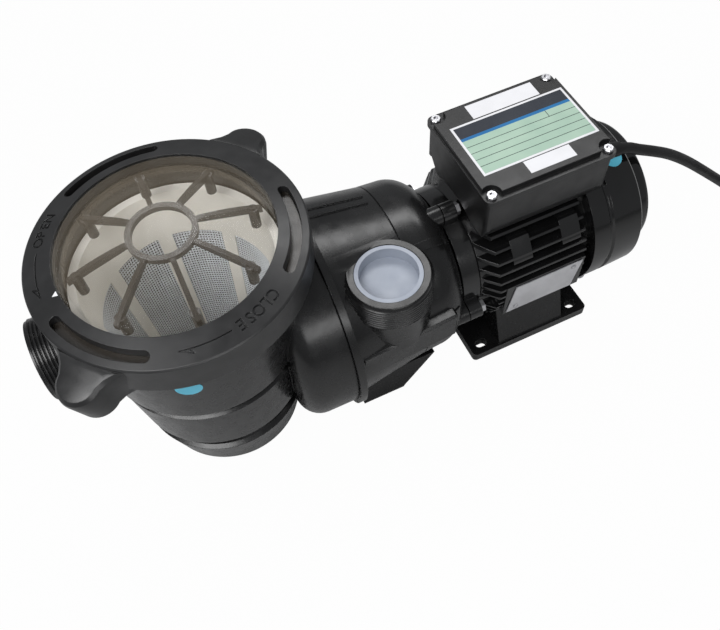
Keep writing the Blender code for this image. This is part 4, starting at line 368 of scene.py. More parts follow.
# Cord and what is on it
CORD_R = 0.0048
CORD_Y = -0.0280
GLAND_RISE = 0.0210
GLAND_FLANGE_R = 0.0090
GLAND_FLANGE_T = 0.0040
GLAND_SHANK_R = 0.0070
GLAND_SHANK_LENGTH = 0.0060
BOOT_LENGTH = 0.0200
BOOT_ROOT_R = 0.0072
BOOT_TIP_R = 0.0060
BOOT_BEND = math.radians(15)
BOOT_STEPS = 16
CORD_ROUTE_XZ = (
    (0.0900, 0.1848), (0.0985, 0.1792), (0.1185, 0.1672), (0.1400, 0.1530), (0.1650, 0.1325),
    (0.1933, 0.1062),
    (0.2290, 0.0717), (0.2560, 0.0450), (0.2830, 0.0235), (0.3100, 0.0104), (0.3300, 0.0069),
)
CORD_STEP = 0.0090
COIL_X = 0.3560
COIL_CORE_R = 0.0395
COIL_TURNS = 4.5
COIL_GAP = 0.0007
COIL_POINTS = 24
COIL_TAIL = 0.0430
TIE_T = 0.0012
TIE_GAP = 0.0006

# Heights and places that follow from the sizes above
RING_SEAT_Z = POT_RIM_Z + SEAT_GAP + LID_FLANGE_T + SEAT_GAP
RING_EDGE_Z = RING_SEAT_Z + RING_EDGE_T
RING_INNER_Z = RING_SEAT_Z + RING_LIP_T
RING_LOW_Z = RING_SEAT_Z - RING_SKIRT
LID_LOW_Z = POT_RIM_Z + SEAT_GAP
LEDGE_Z = POT_RIM_Z - LEDGE_DROP
BASKET_DEPTH = LEDGE_Z - POT_BASE_Z - POT_FLOOR_T - BASKET_FLOOR_GAP
POT_INNER_R = POT_MOUTH_R - LEDGE_W
GROOVE_HALF = ORING_RADIUS + SEAT_GAP
SHIELD_R = FAN_COVER_R - FAN_COVER_WALL - SEAT_GAP
CAP_TOP_Z = PORT_TOP_Z - CAP_DROP
PORT_STEP_Z = CAP_TOP_Z - CAP_H - SEAT_GAP
BOX_LOW_Z = SHAFT_Z + FIN_R - BOX_SKIRT
BOX_FLOOR_Z = SHAFT_Z + FIN_R + BOX_FLOOR_T
BOX_CUT_Z = BOX_LOW_Z + BOX_CUT_RISE
BOX_TOP_Z = BOX_LOW_Z + BOX_H
GLAND_Z = BOX_LOW_Z + GLAND_RISE
BOX_LID_LOW_Z = BOX_TOP_Z + SEAT_GAP + GASKET_T + SEAT_GAP
BOX_LID_RIM_Z = BOX_LID_LOW_Z + BOX_LID_RIM_T
BOX_LID_TOP_Z = BOX_LID_RIM_Z + BOX_LID_TOP_T
GLAND_X = BOX_REAR_X + SEAT_GAP
BOOT_X = GLAND_X + GLAND_FLANGE_T
CORD_D = 2 * CORD_R
COIL_PITCH = CORD_D + COIL_GAP
COIL_LOW_Z = TIE_T + TIE_GAP + CORD_R
COIL_OUT_R = COIL_CORE_R + COIL_PITCH * COIL_TURNS / 2
COIL_Y = CORD_Y - COIL_OUT_R

# Frames whose local Z runs along the shaft, towards the near side, and towards the far side
ALONG_X = Matrix(((0, 0, 1, 0), (1, 0, 0, 0), (0, 1, 0, 0), (0, 0, 0, 1)))
TO_NEAR = Matrix(((1, 0, 0, 0), (0, 0, -1, 0), (0, 1, 0, 0), (0, 0, 0, 1)))
TO_FAR = Matrix(((0, 1, 0, 0), (0, 0, 1, 0), (1, 0, 0, 0), (0, 0, 0, 1)))
SHAFT_FRAME = Matrix.Translation((0, 0, SHAFT_Z)) @ ALONG_X
POT_FRAME = Matrix.Translation((POT_X, 0, 0))

# Finer forms that only the looks have
ARC_DETAIL = 3
THREAD_PITCH = 0.0030
THREAD_DEPTH = 0.0011
PORT_EDGE = 0.0012
DOME_STEPS = 24
GRAIN_DEPTH = 0.0002
PATCH_SCALE = 35.0

# Lettering, arrows and a painted mark on the locking ring
LETTER_H = 0.0078
LETTER_DEPTH = 0.0013
LETTER_PITCH = math.radians(4.7)
LETTER_R = 0.0893
MARK_LINE_W = 0.0009
RING_WORDS = (("OPEN", math.radians(147)), ("CLOSE", math.radians(-65)))
RING_ARROWS = ((math.radians(160), math.radians(185)), (math.radians(-79), math.radians(-102)))
ARROW_BARB = 0.0062
RING_MARK = ((-0.0022, 0.0002), (0.0022, 0.0002), (0, 0.0042))
RING_MARK_ANGLE = math.radians(-172)
RING_MARK_INSET = 0.0004

# Basket's net
MESH_BAR = 0.0011
WINDOW_SPAN = math.radians(35)
WINDOW_COLUMNS = 18
WINDOW_ROWS = 46
NET_PITCH = 0.0040
NET_R = 0.0490
BASKET_HOLE_R = 0.0460

# Label and stickers on the terminal box, each sticker by two corners
LABEL_T = 0.00012
LABEL_X = (-0.0525, 0.0500)
LABEL_Y = (-0.0280, 0.0272)
LABEL_EDGE = 0.0020
LABEL_HEAD_H = 0.0140
LABEL_STRIPE_H = 0.0030
LABEL_ROWS = 5
LABEL_RULE_W = 0.0004
LABEL_COLUMN_X = 0.0240
FAR_STICKER = ((-0.0300, 0.0284), (0.0310, 0.0440))
NEAR_STICKER = ((-0.0195, -0.0416), (0.0210, -0.0290))

# Round stickers: angle about their axis, place along it and radius
POT_DOT = (math.radians(-106.5), 0.1940, 0.0096)
COVER_DOT = (math.radians(109), 0.0780, 0.0085)
DOT_STEPS = 16
DOT_LIFTS = (0.0001, 0.00025)

# Raised strips on the casing: angle from the top towards the near side in degrees, width, and both ends
STRIP_PROUD = 0.0012
CASING_STRIPS = (
    (26.7, 0.0074, -0.1130, -0.0900),
    (75.5, 0.0016, -0.1215, -0.0900),
    (-14.0, 0.0030, -0.1850, -0.1300),
    (-22.0, 0.0030, -0.1850, -0.1300),
)

# Sloping back of the casing's foot
GUSSET_REACH = 0.0350
GUSSET_RISE = 0.0300
GUSSET_LAP = 0.0060
GUSSET_INSET = 0.0004

# Camera that took the photograph, as rows of its right, down and forward directions
CAMERA_RIGHT = Vector((0.9061, -0.4203, -0.0480))
CAMERA_DOWN = Vector((-0.3810, -0.7614, -0.5245))
CAMERA_FORWARD = Vector((0.1839, 0.4935, -0.8501))
CAMERA_PLACE = Vector((-0.2851, -0.3564, 0.6689))
CAMERA_LENS = 38.59
SENSOR_W = 36.0

# Studio, with each lamp's name, place, target, size and power
AMBIENT = 0.30
FLOOR_HALF = 6
FLOOR_DROP = 0.0004
FLOOR_WHITE = 0.975
LAMPS = (
    ("key", (-0.75, -0.35, 1.05), (-0.15, 0, 0.12), (0.7, 0.5), 9.0),
    ("top", (0.15, 0.55, 1.15), (-0.05, 0, 0.12), (1.2, 0.35), 7.0),
    ("front", (-0.10, -1.20, 0.80), (-0.05, 0, 0.10), (0.8, 0.35), 3.5),
)


# Shapes

def ridges(radius, start, end):
    """Profile points of a moulded thread between two places along the axis, drawn as rounded ridges."""
    count = round(abs(end - start) / THREAD_PITCH)
    step = (end - start) / count
    points = []
    for i in range(count):
        base = start + i * step
        points += [(radius - THREAD_DEPTH, base), (radius, base + step * 0.3), (radius, base + step * 0.7)]
    return points + [(radius - THREAD_DEPTH, end)]


def inlet_profile():
    end = -INLET_REACH
    lead = INLET_R - THREAD_DEPTH
    points = [(0, end), (lead, end)]
    points += ridges(INLET_R, end + THREAD_PITCH / 2, THREAD_PITCH - INLET_COLLAR_REACH)
    return points + [(lead, 0), (0, 0)]


def at(x, y, z):
    return Matrix.Translation((x, y, z))


def about_shaft(angle):
    """A frame on the shaft line whose local X points at this angle from +Z, towards the near side."""
    return SHAFT_FRAME @ Matrix.Rotation(math.pi / 2 + angle, 4, "Z")


def arc(centre_x, centre_y, radius, start, end, count):
    """Points along an arc, its two ends included."""
    count = count * ARC_DETAIL
    angles = [start + (end - start) * i / count for i in range(count + 1)]
    return [(centre_x + radius * math.cos(a), centre_y + radius * math.sin(a)) for a in angles]


def rounded_rectangle(low_x, high_x, low_y, high_y, radius, count=4):
    corners = (
        (high_x - radius, high_y - radius, 0),
        (low_x + radius, high_y - radius, 1),
        (low_x + radius, low_y + radius, 2),
        (high_x - radius, low_y + radius, 3),
    )
    points = []
    for x, y, quarter in corners:
        points += arc(x, y, radius, quarter * math.pi / 2, (quarter + 1) * math.pi / 2, count)
    return points


def ring_sector(radius, width, middle, span, count=10, ends=4):
    """The outline of an arc-shaped slot with round ends."""
    start = middle - span / 2
    end = middle + span / 2
    half = width / 2
    tail = (radius * math.cos(start), radius * math.sin(start))
    head = (radius * math.cos(end), radius * math.sin(end))
    points = arc(0, 0, radius + half, start, end, count)
    points += arc(*head, half, end, end + math.pi, ends)[1:-1]
    points += arc(0, 0, radius - half, end, start, count)
    points += arc(*tail, half, start + math.pi, start + 2 * math.pi, ends)[1:-1]
    return points


def turned(profile, steps=STEPS):
    """A solid turned about local Z from a closed profile of (radius, height) points, a flat on local X."""
    mesh = bmesh.new()
    start = math.pi / steps
    verts = [mesh.verts.new((r * math.cos(start), r * math.sin(start), height)) for r, height in profile]
    edges = []
    for first, second in zip(verts, verts[1:] + verts[:1]):
        if first.co.x > 0 or second.co.x > 0:
            edges.append(mesh.edges.new((first, second)))
    bmesh.ops.spin(
        mesh, geom=verts + edges, cent=(0, 0, 0), axis=(0, 0, 1),
        angle=2 * math.pi, steps=steps, use_merge=True
    )
    bmesh.ops.remove_doubles(mesh, verts=mesh.verts, dist=1e-6)
    flat_middles = []
    for vert in mesh.verts:
        if vert.co.xy.length < 1e-6 and all(e.other_vert(vert).co.z == vert.co.z for e in vert.link_edges):
            flat_middles.append(vert)
    bmesh.ops.dissolve_verts(mesh, verts=flat_middles)
    bmesh.ops.recalc_face_normals(mesh, faces=mesh.faces)
    return mesh


def cylinder(radius, low, high, steps=STEPS):
    return turned([(0, high), (radius, high), (radius, low), (0, low)], steps)


def tube(inner, outer, low, high, steps=STEPS):
    return turned([(inner, high), (outer, high), (outer, low), (inner, low)], steps)


def extruded(outline, low, high):
    """A solid with this outline in local X and Y, from low to high along local Z."""
    mesh = bmesh.new()
    face = mesh.faces.new([mesh.verts.new((x, y, low)) for x, y in outline])
    grown = bmesh.ops.extrude_face_region(mesh, geom=[face])["geom"]
    raised = [item for item in grown if isinstance(item, bmesh.types.BMVert)]
    bmesh.ops.translate(mesh, vec=(0, 0, high - low), verts=raised)
    bmesh.ops.recalc_face_normals(mesh, faces=mesh.faces)
    return mesh


def block(low, high):
    outline = [(low[0], low[1]), (high[0], low[1]), (high[0], high[1]), (low[0], high[1])]
    return extruded(outline, low[2], high[2])


def bevelled(mesh, width, segments=2):
    bmesh.ops.bevel(
        mesh, geom=mesh.edges, offset=width, segments=segments,
        profile=0.5, affect="EDGES", clamp_overlap=True
    )
    return mesh


def piece(name, mesh, frame=Matrix.Identity(4)):
    """An object from this bmesh, moved into its frame."""
    bmesh.ops.transform(mesh, matrix=frame, verts=mesh.verts)
    data = bpy.data.meshes.new(name)
    mesh.to_mesh(data)
    mesh.free()
    obj = bpy.data.objects.new(name, data)
    bpy.context.scene.collection.objects.link(obj)
    return obj


def weld(body):
    """Merges points that a Boolean left in one place, because they can upset the next Boolean."""
    mesh = bmesh.new()
    mesh.from_mesh(body.data)
    bmesh.ops.remove_doubles(mesh, verts=mesh.verts, dist=WELD_GAP)
    bmesh.ops.dissolve_degenerate(mesh, dist=WELD_GAP, edges=mesh.edges)
    mesh.to_mesh(body.data)
    mesh.free()


def combine(body, mesh, frame, operation):
    """Joins the solid in mesh to the body, or cuts or intersects the body with it."""
    tool = piece("tool", mesh, frame)
    modifier = body.modifiers.new(operation, "BOOLEAN")
    modifier.operation = operation
    modifier.solver = "EXACT"
    modifier.object = tool
    graph = bpy.context.evaluated_depsgraph_get()
    result = bpy.data.meshes.new_from_object(body.evaluated_get(graph))
    body.modifiers.clear()
    old = body.data
    body.data = result
    bpy.data.meshes.remove(old)
    data = tool.data
    bpy.data.objects.remove(tool)
    bpy.data.meshes.remove(data)


def join(body, mesh, frame=Matrix.Identity(4)):
    combine(body, mesh, frame, "UNION")


def cut(body, mesh, frame=Matrix.Identity(4)):
    combine(body, mesh, frame, "DIFFERENCE")


def keep(body, mesh, frame=Matrix.Identity(4)):
    combine(body, mesh, frame, "INTERSECT")


def lug_mesh():
    """One grip lug of the locking ring, drawn in plan and rounded along its top. Local X points outwards."""
    tip = RING_R + LUG_REACH
    tip_half = LUG_TIP_W / 2
    outline = [(RING_SKIRT_R, -LUG_ROOT_W / 2), (RING_R + LUG_REACH * 0.25, -tip_half * 1.15)]
    outline += arc(tip - tip_half, 0, tip_half, -math.pi / 2, math.pi / 2, 8)
    outline += [(RING_R + LUG_REACH * 0.25, tip_half * 1.15), (RING_SKIRT_R, LUG_ROOT_W / 2)]
    lug = extruded(outline, -LUG_H, 0)
    top_edges = [e for e in lug.edges if all(v.co.z > -LUG_H / 2 for v in e.verts)]
    bmesh.ops.bevel(
        lug, geom=top_edges, offset=LUG_ROUND, segments=3, profile=0.5, affect="EDGES", clamp_overlap=True
    )
    return lug


def make_lock_ring():
    round_low = RING_EDGE_Z - RING_EDGE_ROUND
    profile = [
        (RING_INNER_R, RING_INNER_Z),
        (RING_R - RING_EDGE_ROUND, RING_EDGE_Z),
        (RING_R, round_low),
        (RING_R, RING_LOW_Z),
        (RING_SKIRT_R, RING_LOW_Z),
        (RING_SKIRT_R, RING_SEAT_Z),
        (RING_INNER_R, RING_SEAT_Z),
    ]
    ring = piece("ring_moulding", turned(profile, FINE_STEPS), POT_FRAME)
    tilt = at(RING_R, 0, round_low) @ Matrix.Rotation(LUG_TILT, 4, "Y") @ at(-RING_R, 0, 0)
    for side in (0, math.pi):
        join(ring, lug_mesh(), POT_FRAME @ Matrix.Rotation(LUG_ANGLE + side, 4, "Z") @ tilt)
    cut(ring, cylinder(RING_SKIRT_R, RING_LOW_Z - LUG_H, RING_SEAT_Z, FINE_STEPS), POT_FRAME)
    for i in range(SLOT_COUNT):
        middle = SLOT_FIRST + i * 2 * math.pi / SLOT_COUNT
        outline = ring_sector(RING_R - SLOT_INSET, SLOT_W, middle, SLOT_SPAN)
        cut(ring, extruded(outline, RING_SEAT_Z - RING_LIP_T, RING_INNER_Z + RING_LIP_T), POT_FRAME)
    return ring


def dome(radius, crown_z, edge_z, count):
    """Profile points of a spherical cap, from its crown on the axis to its edge."""
    rise = crown_z - edge_z
    sphere = (radius * radius + rise * rise) / (2 * rise)
    reach = math.asin(radius / sphere)
    angles = [reach * i / count for i in range(count + 1)]
    return [(sphere * math.sin(a), crown_z - sphere + sphere * math.cos(a)) for a in angles]


def pot_outline():
    """The pot's outside from the rim down to the middle of its underside, in three tiers with grooves."""
    points = [(0, POT_RIM_Z), (POT_RIM_R, POT_RIM_Z), (POT_RIM_R, POT_RIM_Z - POT_RIM_H)]
    points += [(POT_TOP_R, POT_RIM_Z - POT_RIM_H - GROOVE_SETBACK)]
    tiers = ((TIER_1_R, TIER_1_LOW_Z, TIER_2_TOP_R, TIER_2_TOP_Z), (TIER_2_R, TIER_2_LOW_Z, CUP_R, CUP_TOP_Z))
    for radius, low_z, next_r, next_z in tiers:
        points += arc(radius - TIER_ROUND, low_z + TIER_ROUND, TIER_ROUND, 0, -math.pi / 2, 2)
        points += [(radius - TIER_ROUND - GROOVE_SETBACK, next_z + GROOVE_SETBACK), (next_r, next_z)]
    points += arc(CUP_LOW_R - 2 * TIER_ROUND, POT_BASE_Z + 2 * TIER_ROUND, 2 * TIER_ROUND, 0, -math.pi / 2, 2)
    return points + [(0, POT_BASE_Z)]


def make_strainer_pot():
    pot = piece("pot_moulding", turned(pot_outline(), FINE_STEPS), POT_FRAME)
    inlet = at(POT_X, 0, INLET_Z) @ ALONG_X
    join(pot, turned(inlet_profile()), inlet)
    join(pot, cylinder(INLET_COLLAR_R, -INLET_COLLAR_REACH, 0), inlet)
    rear = FLANGE_X - SEAT_GAP
    front = rear - DRUM_DEPTH
    corner = arc(DRUM_R - DRUM_ROUND, front + DRUM_ROUND, DRUM_ROUND, 0, -math.pi / 2, 3)
    join(pot, turned([(0, rear), (DRUM_R, rear)] + corner + [(0, front)], FINE_STEPS), SHAFT_FRAME)
    drain = at(POT_X, 0, DRAIN_Z) @ TO_FAR
    join(pot, cylinder(DRAIN_BOSS_R, 0, DRAIN_BOSS_REACH, SMALL_STEPS), drain)
    floor_z = POT_BASE_Z + POT_FLOOR_T
    inside = [(0, POT_RIM_Z + POT_RIM_H), (POT_MOUTH_R, POT_RIM_Z + POT_RIM_H), (POT_MOUTH_R, LEDGE_Z)]
    waist = TIER_ROUND + GROOVE_SETBACK + POT_WALL
    inside += [(POT_INNER_R, LEDGE_Z), (TIER_1_R - waist, TIER_1_LOW_Z), (TIER_2_R - waist, TIER_2_LOW_Z)]
    inside += [(CUP_LOW_R - 2 * TIER_ROUND, floor_z), (0, floor_z)]
    cut(pot, turned(inside), POT_FRAME)
    cut(pot, cylinder(INLET_BORE_R, -2 * INLET_REACH, 0), inlet)
    cut(pot, cylinder(SUCTION_R, POT_X, 0), SHAFT_FRAME)
    cut(pot, cylinder(DRAIN_R + SEAT_GAP, 0, 2 * DRAIN_BOSS_REACH, SMALL_STEPS), drain)
    cut(pot, tube(DRUM_POCKET_IN_R, DRUM_POCKET_OUT_R, rear - DRUM_POCKET_DEPTH, 0), SHAFT_FRAME)
    groove_z = POT_RIM_Z - 2 * GROOVE_HALF
    lid_groove = tube(LID_GROOVE_R - GROOVE_HALF, LID_GROOVE_R + GROOVE_HALF, groove_z, POT_RIM_Z + POT_RIM_H)
    cut(pot, lid_groove, POT_FRAME)
    groove_x = rear - 2 * GROOVE_HALF
    casing_groove = tube(CASING_GROOVE_R - GROOVE_HALF, CASING_GROOVE_R + GROOVE_HALF, groove_x, 0)
    cut(pot, casing_groove, SHAFT_FRAME)
    return pot


def basket_radius(z):
    """The outside radius of the basket's tapered wall at a height."""
    top_r = POT_INNER_R - BASKET_SIDE_GAP
    return top_r - BASKET_TAPER * (LEDGE_Z - z) / BASKET_DEPTH


def casing_outline():
    """The volute drum's outside, from its front flange to its rear face, as (radius, X) points."""
    lip_x = FLANGE_X + CASING_LIP_T
    half_seam = CASING_SEAM_W / 2
    shoulder_x = CASING_REAR_X - CASING_SHOULDER
    points = [(0, FLANGE_X), (CASING_LIP_R, FLANGE_X), (CASING_LIP_R, lip_x)]
    points += [(CASING_FRONT_R, lip_x + CASING_SEAM_W), (CASING_MID_R, CASING_SEAM_X - half_seam)]
    points += [(CASING_MID_R - CASING_SEAM_W, CASING_SEAM_X), (CASING_MID_R, CASING_SEAM_X + half_seam)]
    points += arc(CASING_REAR_R - CASING_SHOULDER, shoulder_x, CASING_SHOULDER, 0, math.pi / 2, 5)
    return points + [(0, CASING_REAR_X)]


def bolt_angles():
    return [BOLT_FIRST + i * 2 * math.pi / BOLTS for i in range(BOLTS)]


def ear_outline():
    """One bolt ear seen along the shaft, with local X pointing outwards."""
    root = BRACKET_R - EAR_R
    return [(root, -EAR_R)] + arc(BOLT_PITCH_R, 0, EAR_R, -math.pi / 2, math.pi / 2, 5) + [(root, EAR_R)]


def make_pump_casing():
    casing = piece("casing_moulding", turned(casing_outline(), FINE_STEPS), SHAFT_FRAME)
    saddle = [(SADDLE_FRONT_X, SADDLE_FRONT_Y), (SADDLE_REAR_X, SADDLE_REAR_Y), (SADDLE_REAR_X, PORT_Y)]
    saddle += [(SADDLE_FRONT_X, PORT_Y)]
    join(casing, bevelled(extruded(saddle, SADDLE_FOOT_Z, SADDLE_TOP_Z), SADDLE_BEVEL, 1))
    port = at(PORT_X, PORT_Y, 0)
    thread_z = PORT_TOP_Z - PORT_RIM_H
    neck_z = thread_z - PORT_THREAD_H
    profile = [(0, PORT_TOP_Z), (PORT_RIM_R - PORT_EDGE, PORT_TOP_Z), (PORT_RIM_R, PORT_TOP_Z - PORT_EDGE)]
    profile += ridges(PORT_THREAD_R, thread_z, neck_z)
    profile += [(PORT_RIM_R, neck_z - PORT_RIM_H), (PORT_RIM_R, PORT_FOOT_Z), (0, PORT_FOOT_Z)]
    join(casing, turned(profile), port)
    foot_low = FRONT_FOOT_HALF_Y
    foot_high = FRONT_FOOT_TOP_HALF_Y
    outline = [(-foot_low, 0), (foot_low, 0), (foot_high, FRONT_FOOT_H), (-foot_high, FRONT_FOOT_H)]
    join(casing, extruded(outline, -FRONT_FOOT_HALF_X, FRONT_FOOT_HALF_X), at(FRONT_FOOT_X, 0, 0) @ ALONG_X)
    for angle in bolt_angles():
        boss = extruded(ear_outline(), CASING_REAR_X - CASING_SHOULDER, CASING_REAR_X - SEAT_GAP)
        join(casing, boss, about_shaft(angle))
    cut(casing, cylinder(CHAMBER_R, FLANGE_X - CASING_LIP_T, CASING_REAR_X - REAR_WALL), SHAFT_FRAME)
    cut(casing, cylinder(REAR_BORE_R, FLANGE_X, 0), SHAFT_FRAME)
    cut(casing, cylinder(PORT_BORE_R, PORT_STEP_Z, PORT_TOP_Z + CAP_H), port)
    cut(casing, cylinder(THROAT_R, THROAT_FOOT_Z, PORT_TOP_Z), port)
    for angle in bolt_angles():
        hole = cylinder(BOLT_R + SCREW_GAP, CASING_REAR_X - BOLT_DEPTH - RUN_GAP, 0, SMALL_STEPS)
        cut(casing, hole, about_shaft(angle) @ at(BOLT_PITCH_R, 0, 0))
    return casing


def make_port_cap():
    radius = PORT_BORE_R - SEAT_GAP
    floor_z = CAP_TOP_Z - CAP_DEPTH
    low_z = CAP_TOP_Z - CAP_H
    inner = radius - CAP_WALL
    profile = [(0, floor_z), (inner, floor_z), (inner, CAP_TOP_Z)]
    profile += [(radius, CAP_TOP_Z), (radius, low_z), (0, low_z)]
    return piece("cap_moulding", turned(profile), at(PORT_X, PORT_Y, 0))


def make_motor_bracket():
    front = BRACKET_REAR_X - BRACKET_LENGTH + SEAT_GAP
    spigot_r = STATOR_R
    rear = BRACKET_REAR_X + SPIGOT_LENGTH
    pocket = FRONT_BEARING_X - SEAT_GAP
    profile = [(SHAFT_HOLE_R, front), (BRACKET_R, front), (BRACKET_R, BRACKET_REAR_X)]
    profile += [(spigot_r, BRACKET_REAR_X), (spigot_r, rear)]
    profile += [(BEARING_R, rear), (BEARING_R, pocket), (SHAFT_HOLE_R, pocket)]
    bracket = piece("bracket_casting", turned(profile), SHAFT_FRAME)
    for angle in bolt_angles():
        join(bracket, extruded(ear_outline(), front + SEAT_GAP, front + EAR_LENGTH), about_shaft(angle))
    cut(bracket, cylinder(BEARING_R, pocket, rear + SPIGOT_LENGTH), SHAFT_FRAME)
    for angle in bolt_angles():
        hole = cylinder(BOLT_R + SCREW_GAP, CASING_REAR_X - BOLT_DEPTH, 0, SMALL_STEPS)
        cut(bracket, hole, about_shaft(angle) @ at(BOLT_PITCH_R, 0, 0))
    return bracket


def make_motor_housing():
    rear = HOUSING_REAR_X
    housing = piece("housing_casting", cylinder(HOUSING_R, HOUSING_FRONT_X, rear, FINE_STEPS), SHAFT_FRAME)
    fin_rear = rear - FIN_REAR_SETBACK
    for row in range(-FIN_ROWS, FIN_ROWS + 1):
        height = row * FIN_PITCH
        reach = math.sqrt(FIN_R**2 - height**2)
        low = (HOUSING_FRONT_X, -reach, SHAFT_Z + height - FIN_T / 2)
        high = (fin_rear, reach, SHAFT_Z + height + FIN_T / 2)
        join(housing, block(low, high))
    pad_low = (HOUSING_FRONT_X, -PAD_HALF_W, SHAFT_Z - FIN_R)
    pad_high = (fin_rear, PAD_HALF_W, SHAFT_Z + FIN_R)
    join(housing, block(pad_low, pad_high))
    for middle in LUG_PAD_X:
        low = (middle - LUG_PAD_HALF_X, -LUG_PAD_Y, LUG_PAD_LOW_Z)
        high = (middle + LUG_PAD_HALF_X, LUG_PAD_Y, LUG_PAD_HIGH_Z)
        join(housing, block(low, high))
    past = FIN_CHAMFER / 2
    chamfer = [(0, HOUSING_FRONT_X - past), (FIN_R - FIN_CHAMFER - past, HOUSING_FRONT_X - past)]
    chamfer += [(FIN_R, HOUSING_FRONT_X + FIN_CHAMFER), (FIN_R, rear + past), (0, rear + past)]
    keep(housing, turned(chamfer, FINE_STEPS), SHAFT_FRAME)
    margin = PLATE_PAD_MARGIN
    half_x = PLATE_LENGTH / 2 + PLATE_SKEW + margin
    half_z = PLATE_H / 2 + margin
    plate_low = (PLATE_X - half_x, -PLATE_Y, PLATE_Z - half_z)
    plate_high = (PLATE_X + half_x, -HOUSING_R / 2, PLATE_Z + half_z)
    join(housing, block(plate_low, plate_high))
    weld(housing)
    cut(housing, cylinder(STATOR_R + SEAT_GAP, 2 * HOUSING_FRONT_X, 2 * rear), SHAFT_FRAME)
    for angle in bolt_angles():
        notch = cylinder(EAR_R + SCREW_GAP, 2 * HOUSING_FRONT_X, HOUSING_FRONT_X + FIN_CHAMFER, SMALL_STEPS)
        cut(housing, notch, about_shaft(angle) @ at(BOLT_PITCH_R + RUN_GAP, 0, 0))
    face = PLATE_Y + RIVET_LENGTH
    for x, z in rivet_places():
        hole = cylinder(RIVET_SHANK_R + SEAT_GAP, PLATE_Y - RIVET_LENGTH - SEAT_GAP, face, PIN_STEPS)
        cut(housing, hole, at(x, 0, z) @ TO_NEAR)
    return housing


def rivet_places():
    half_x = PLATE_LENGTH / 2 - RIVET_INSET
    half_z = PLATE_H / 2 - RIVET_INSET
    return ((PLATE_X - half_x, PLATE_Z - half_z), (PLATE_X + half_x, PLATE_Z + half_z))


def fan_cover_profile():
    """The cover's outside from its open front to the middle of its rear face, then back along the inside."""
    wall = FAN_COVER_WALL
    front = FAN_COVER_FRONT_X
    edge_x = FAN_COVER_EDGE_X
    rear = FAN_COVER_REAR_X
    groove = front + GROOVE_FROM_FRONT
    groove_r = FAN_COVER_R - GROOVE_DEPTH
    edge_r = FAN_COVER_REAR_R
    corner = COVER_CAP_ROUND
    profile = [(FAN_COVER_R - wall, front), (FAN_COVER_R, front), (FAN_COVER_R, groove)]
    profile += [(groove_r, groove + GROOVE_DEPTH), (groove_r, groove + GROOVE_W - GROOVE_DEPTH)]
    profile += [(FAN_COVER_R, groove + GROOVE_W), (edge_r, edge_x - FAN_COVER_EDGE)]
    profile += [(edge_r - FAN_COVER_EDGE, edge_x), (COVER_CAP_R, edge_x + FAN_COVER_EDGE)]
    profile += arc(COVER_CAP_R - corner, rear - corner, corner, 0, math.pi / 2, 3)
    profile += [(0, rear), (0, rear - wall), (COVER_CAP_R - corner, rear - wall)]
    profile += [(COVER_CAP_R - wall, rear - corner), (COVER_CAP_R - wall, edge_x + FAN_COVER_EDGE - wall)]
    profile += [(edge_r - FAN_COVER_EDGE - wall, edge_x - wall), (groove_r - wall, groove)]
    return profile + [(FAN_COVER_R - wall, groove - GROOVE_DEPTH)]


def cover_screw_frames():
    """Frames on the fan cover's screws, with local Z pointing outwards along each screw."""
    screw_x = FAN_COVER_FRONT_X + COVER_SCREW_FROM_FRONT
    return [at(screw_x, 0, SHAFT_Z) @ Matrix.Rotation(angle, 4, "X") for angle in COVER_SCREW_ANGLES]


def make_fan_cover():
    wall = FAN_COVER_WALL
    rear = FAN_COVER_REAR_X
    cover = piece("cover_moulding", turned(fan_cover_profile(), FINE_STEPS), SHAFT_FRAME)
    for ring in range(GRILLE_RINGS):
        radius = GRILLE_FIRST_R + ring * GRILLE_PITCH
        span = 2 * math.pi / GRILLE_ARCS - (GRILLE_BAR_W + GRILLE_SLOT_W) / radius
        for part in range(GRILLE_ARCS):
            middle = (part + 0.5) * 2 * math.pi / GRILLE_ARCS
            outline = ring_sector(radius, GRILLE_SLOT_W, middle, span, 3, 2)
            cut(cover, extruded(outline, rear - 2 * wall, rear + wall), SHAFT_FRAME)
    for frame in cover_screw_frames():
        cut(cover, cylinder(COVER_SCREW_R + SCREW_GAP, SHIELD_R / 2, 2 * FAN_COVER_R, PIN_STEPS), frame)
    return cover


def make_motor_foot():
    plan = rounded_rectangle(-FOOT_HALF_X, FOOT_HALF_X, -FOOT_HALF_Y, FOOT_HALF_Y, FOOT_CORNER, 2)
    foot = piece("foot_moulding", extruded(plan, 0, FOOT_FLANGE_T))
    inset = FOOT_HALF_Y - SEAT_GAP
    side = [(-inset, FOOT_FLANGE_T / 2), (inset, FOOT_FLANGE_T / 2), (PEDESTAL_TOP_HALF_Y, PEDESTAL_TOP_Z)]
    side += [(-PEDESTAL_TOP_HALF_Y, PEDESTAL_TOP_Z)]
    join(foot, extruded(side, -PEDESTAL_HALF_X, PEDESTAL_HALF_X), ALONG_X)
    cut(foot, cylinder(FIN_R + SEAT_GAP, -FOOT_HALF_X, FOOT_HALF_X, FINE_STEPS), SHAFT_FRAME)
    half_w = FOOT_SLOT_W / 2
    half_l = FOOT_SLOT_LENGTH / 2
    for x in (-FOOT_SLOT_X, FOOT_SLOT_X):
        for y in (-FOOT_SLOT_Y, FOOT_SLOT_Y):
            outline = rounded_rectangle(x - half_l, x + half_l, y - half_w, y + half_w, half_w * 0.98, 3)
            cut(foot, extruded(outline, -FOOT_FLANGE_T, 2 * FOOT_FLANGE_T))
    pocket_y = PEDESTAL_TOP_HALF_Y - FOOT_WALL
    for side in (-1, 1):
        ends = sorted((side * FOOT_WEB / 2, side * (PEDESTAL_HALF_X - FOOT_WALL)))
        cut(foot, block((ends[0], -pocket_y, -FOOT_FLANGE_T), (ends[1], pocket_y, FOOT_POCKET_H)))
    return foot


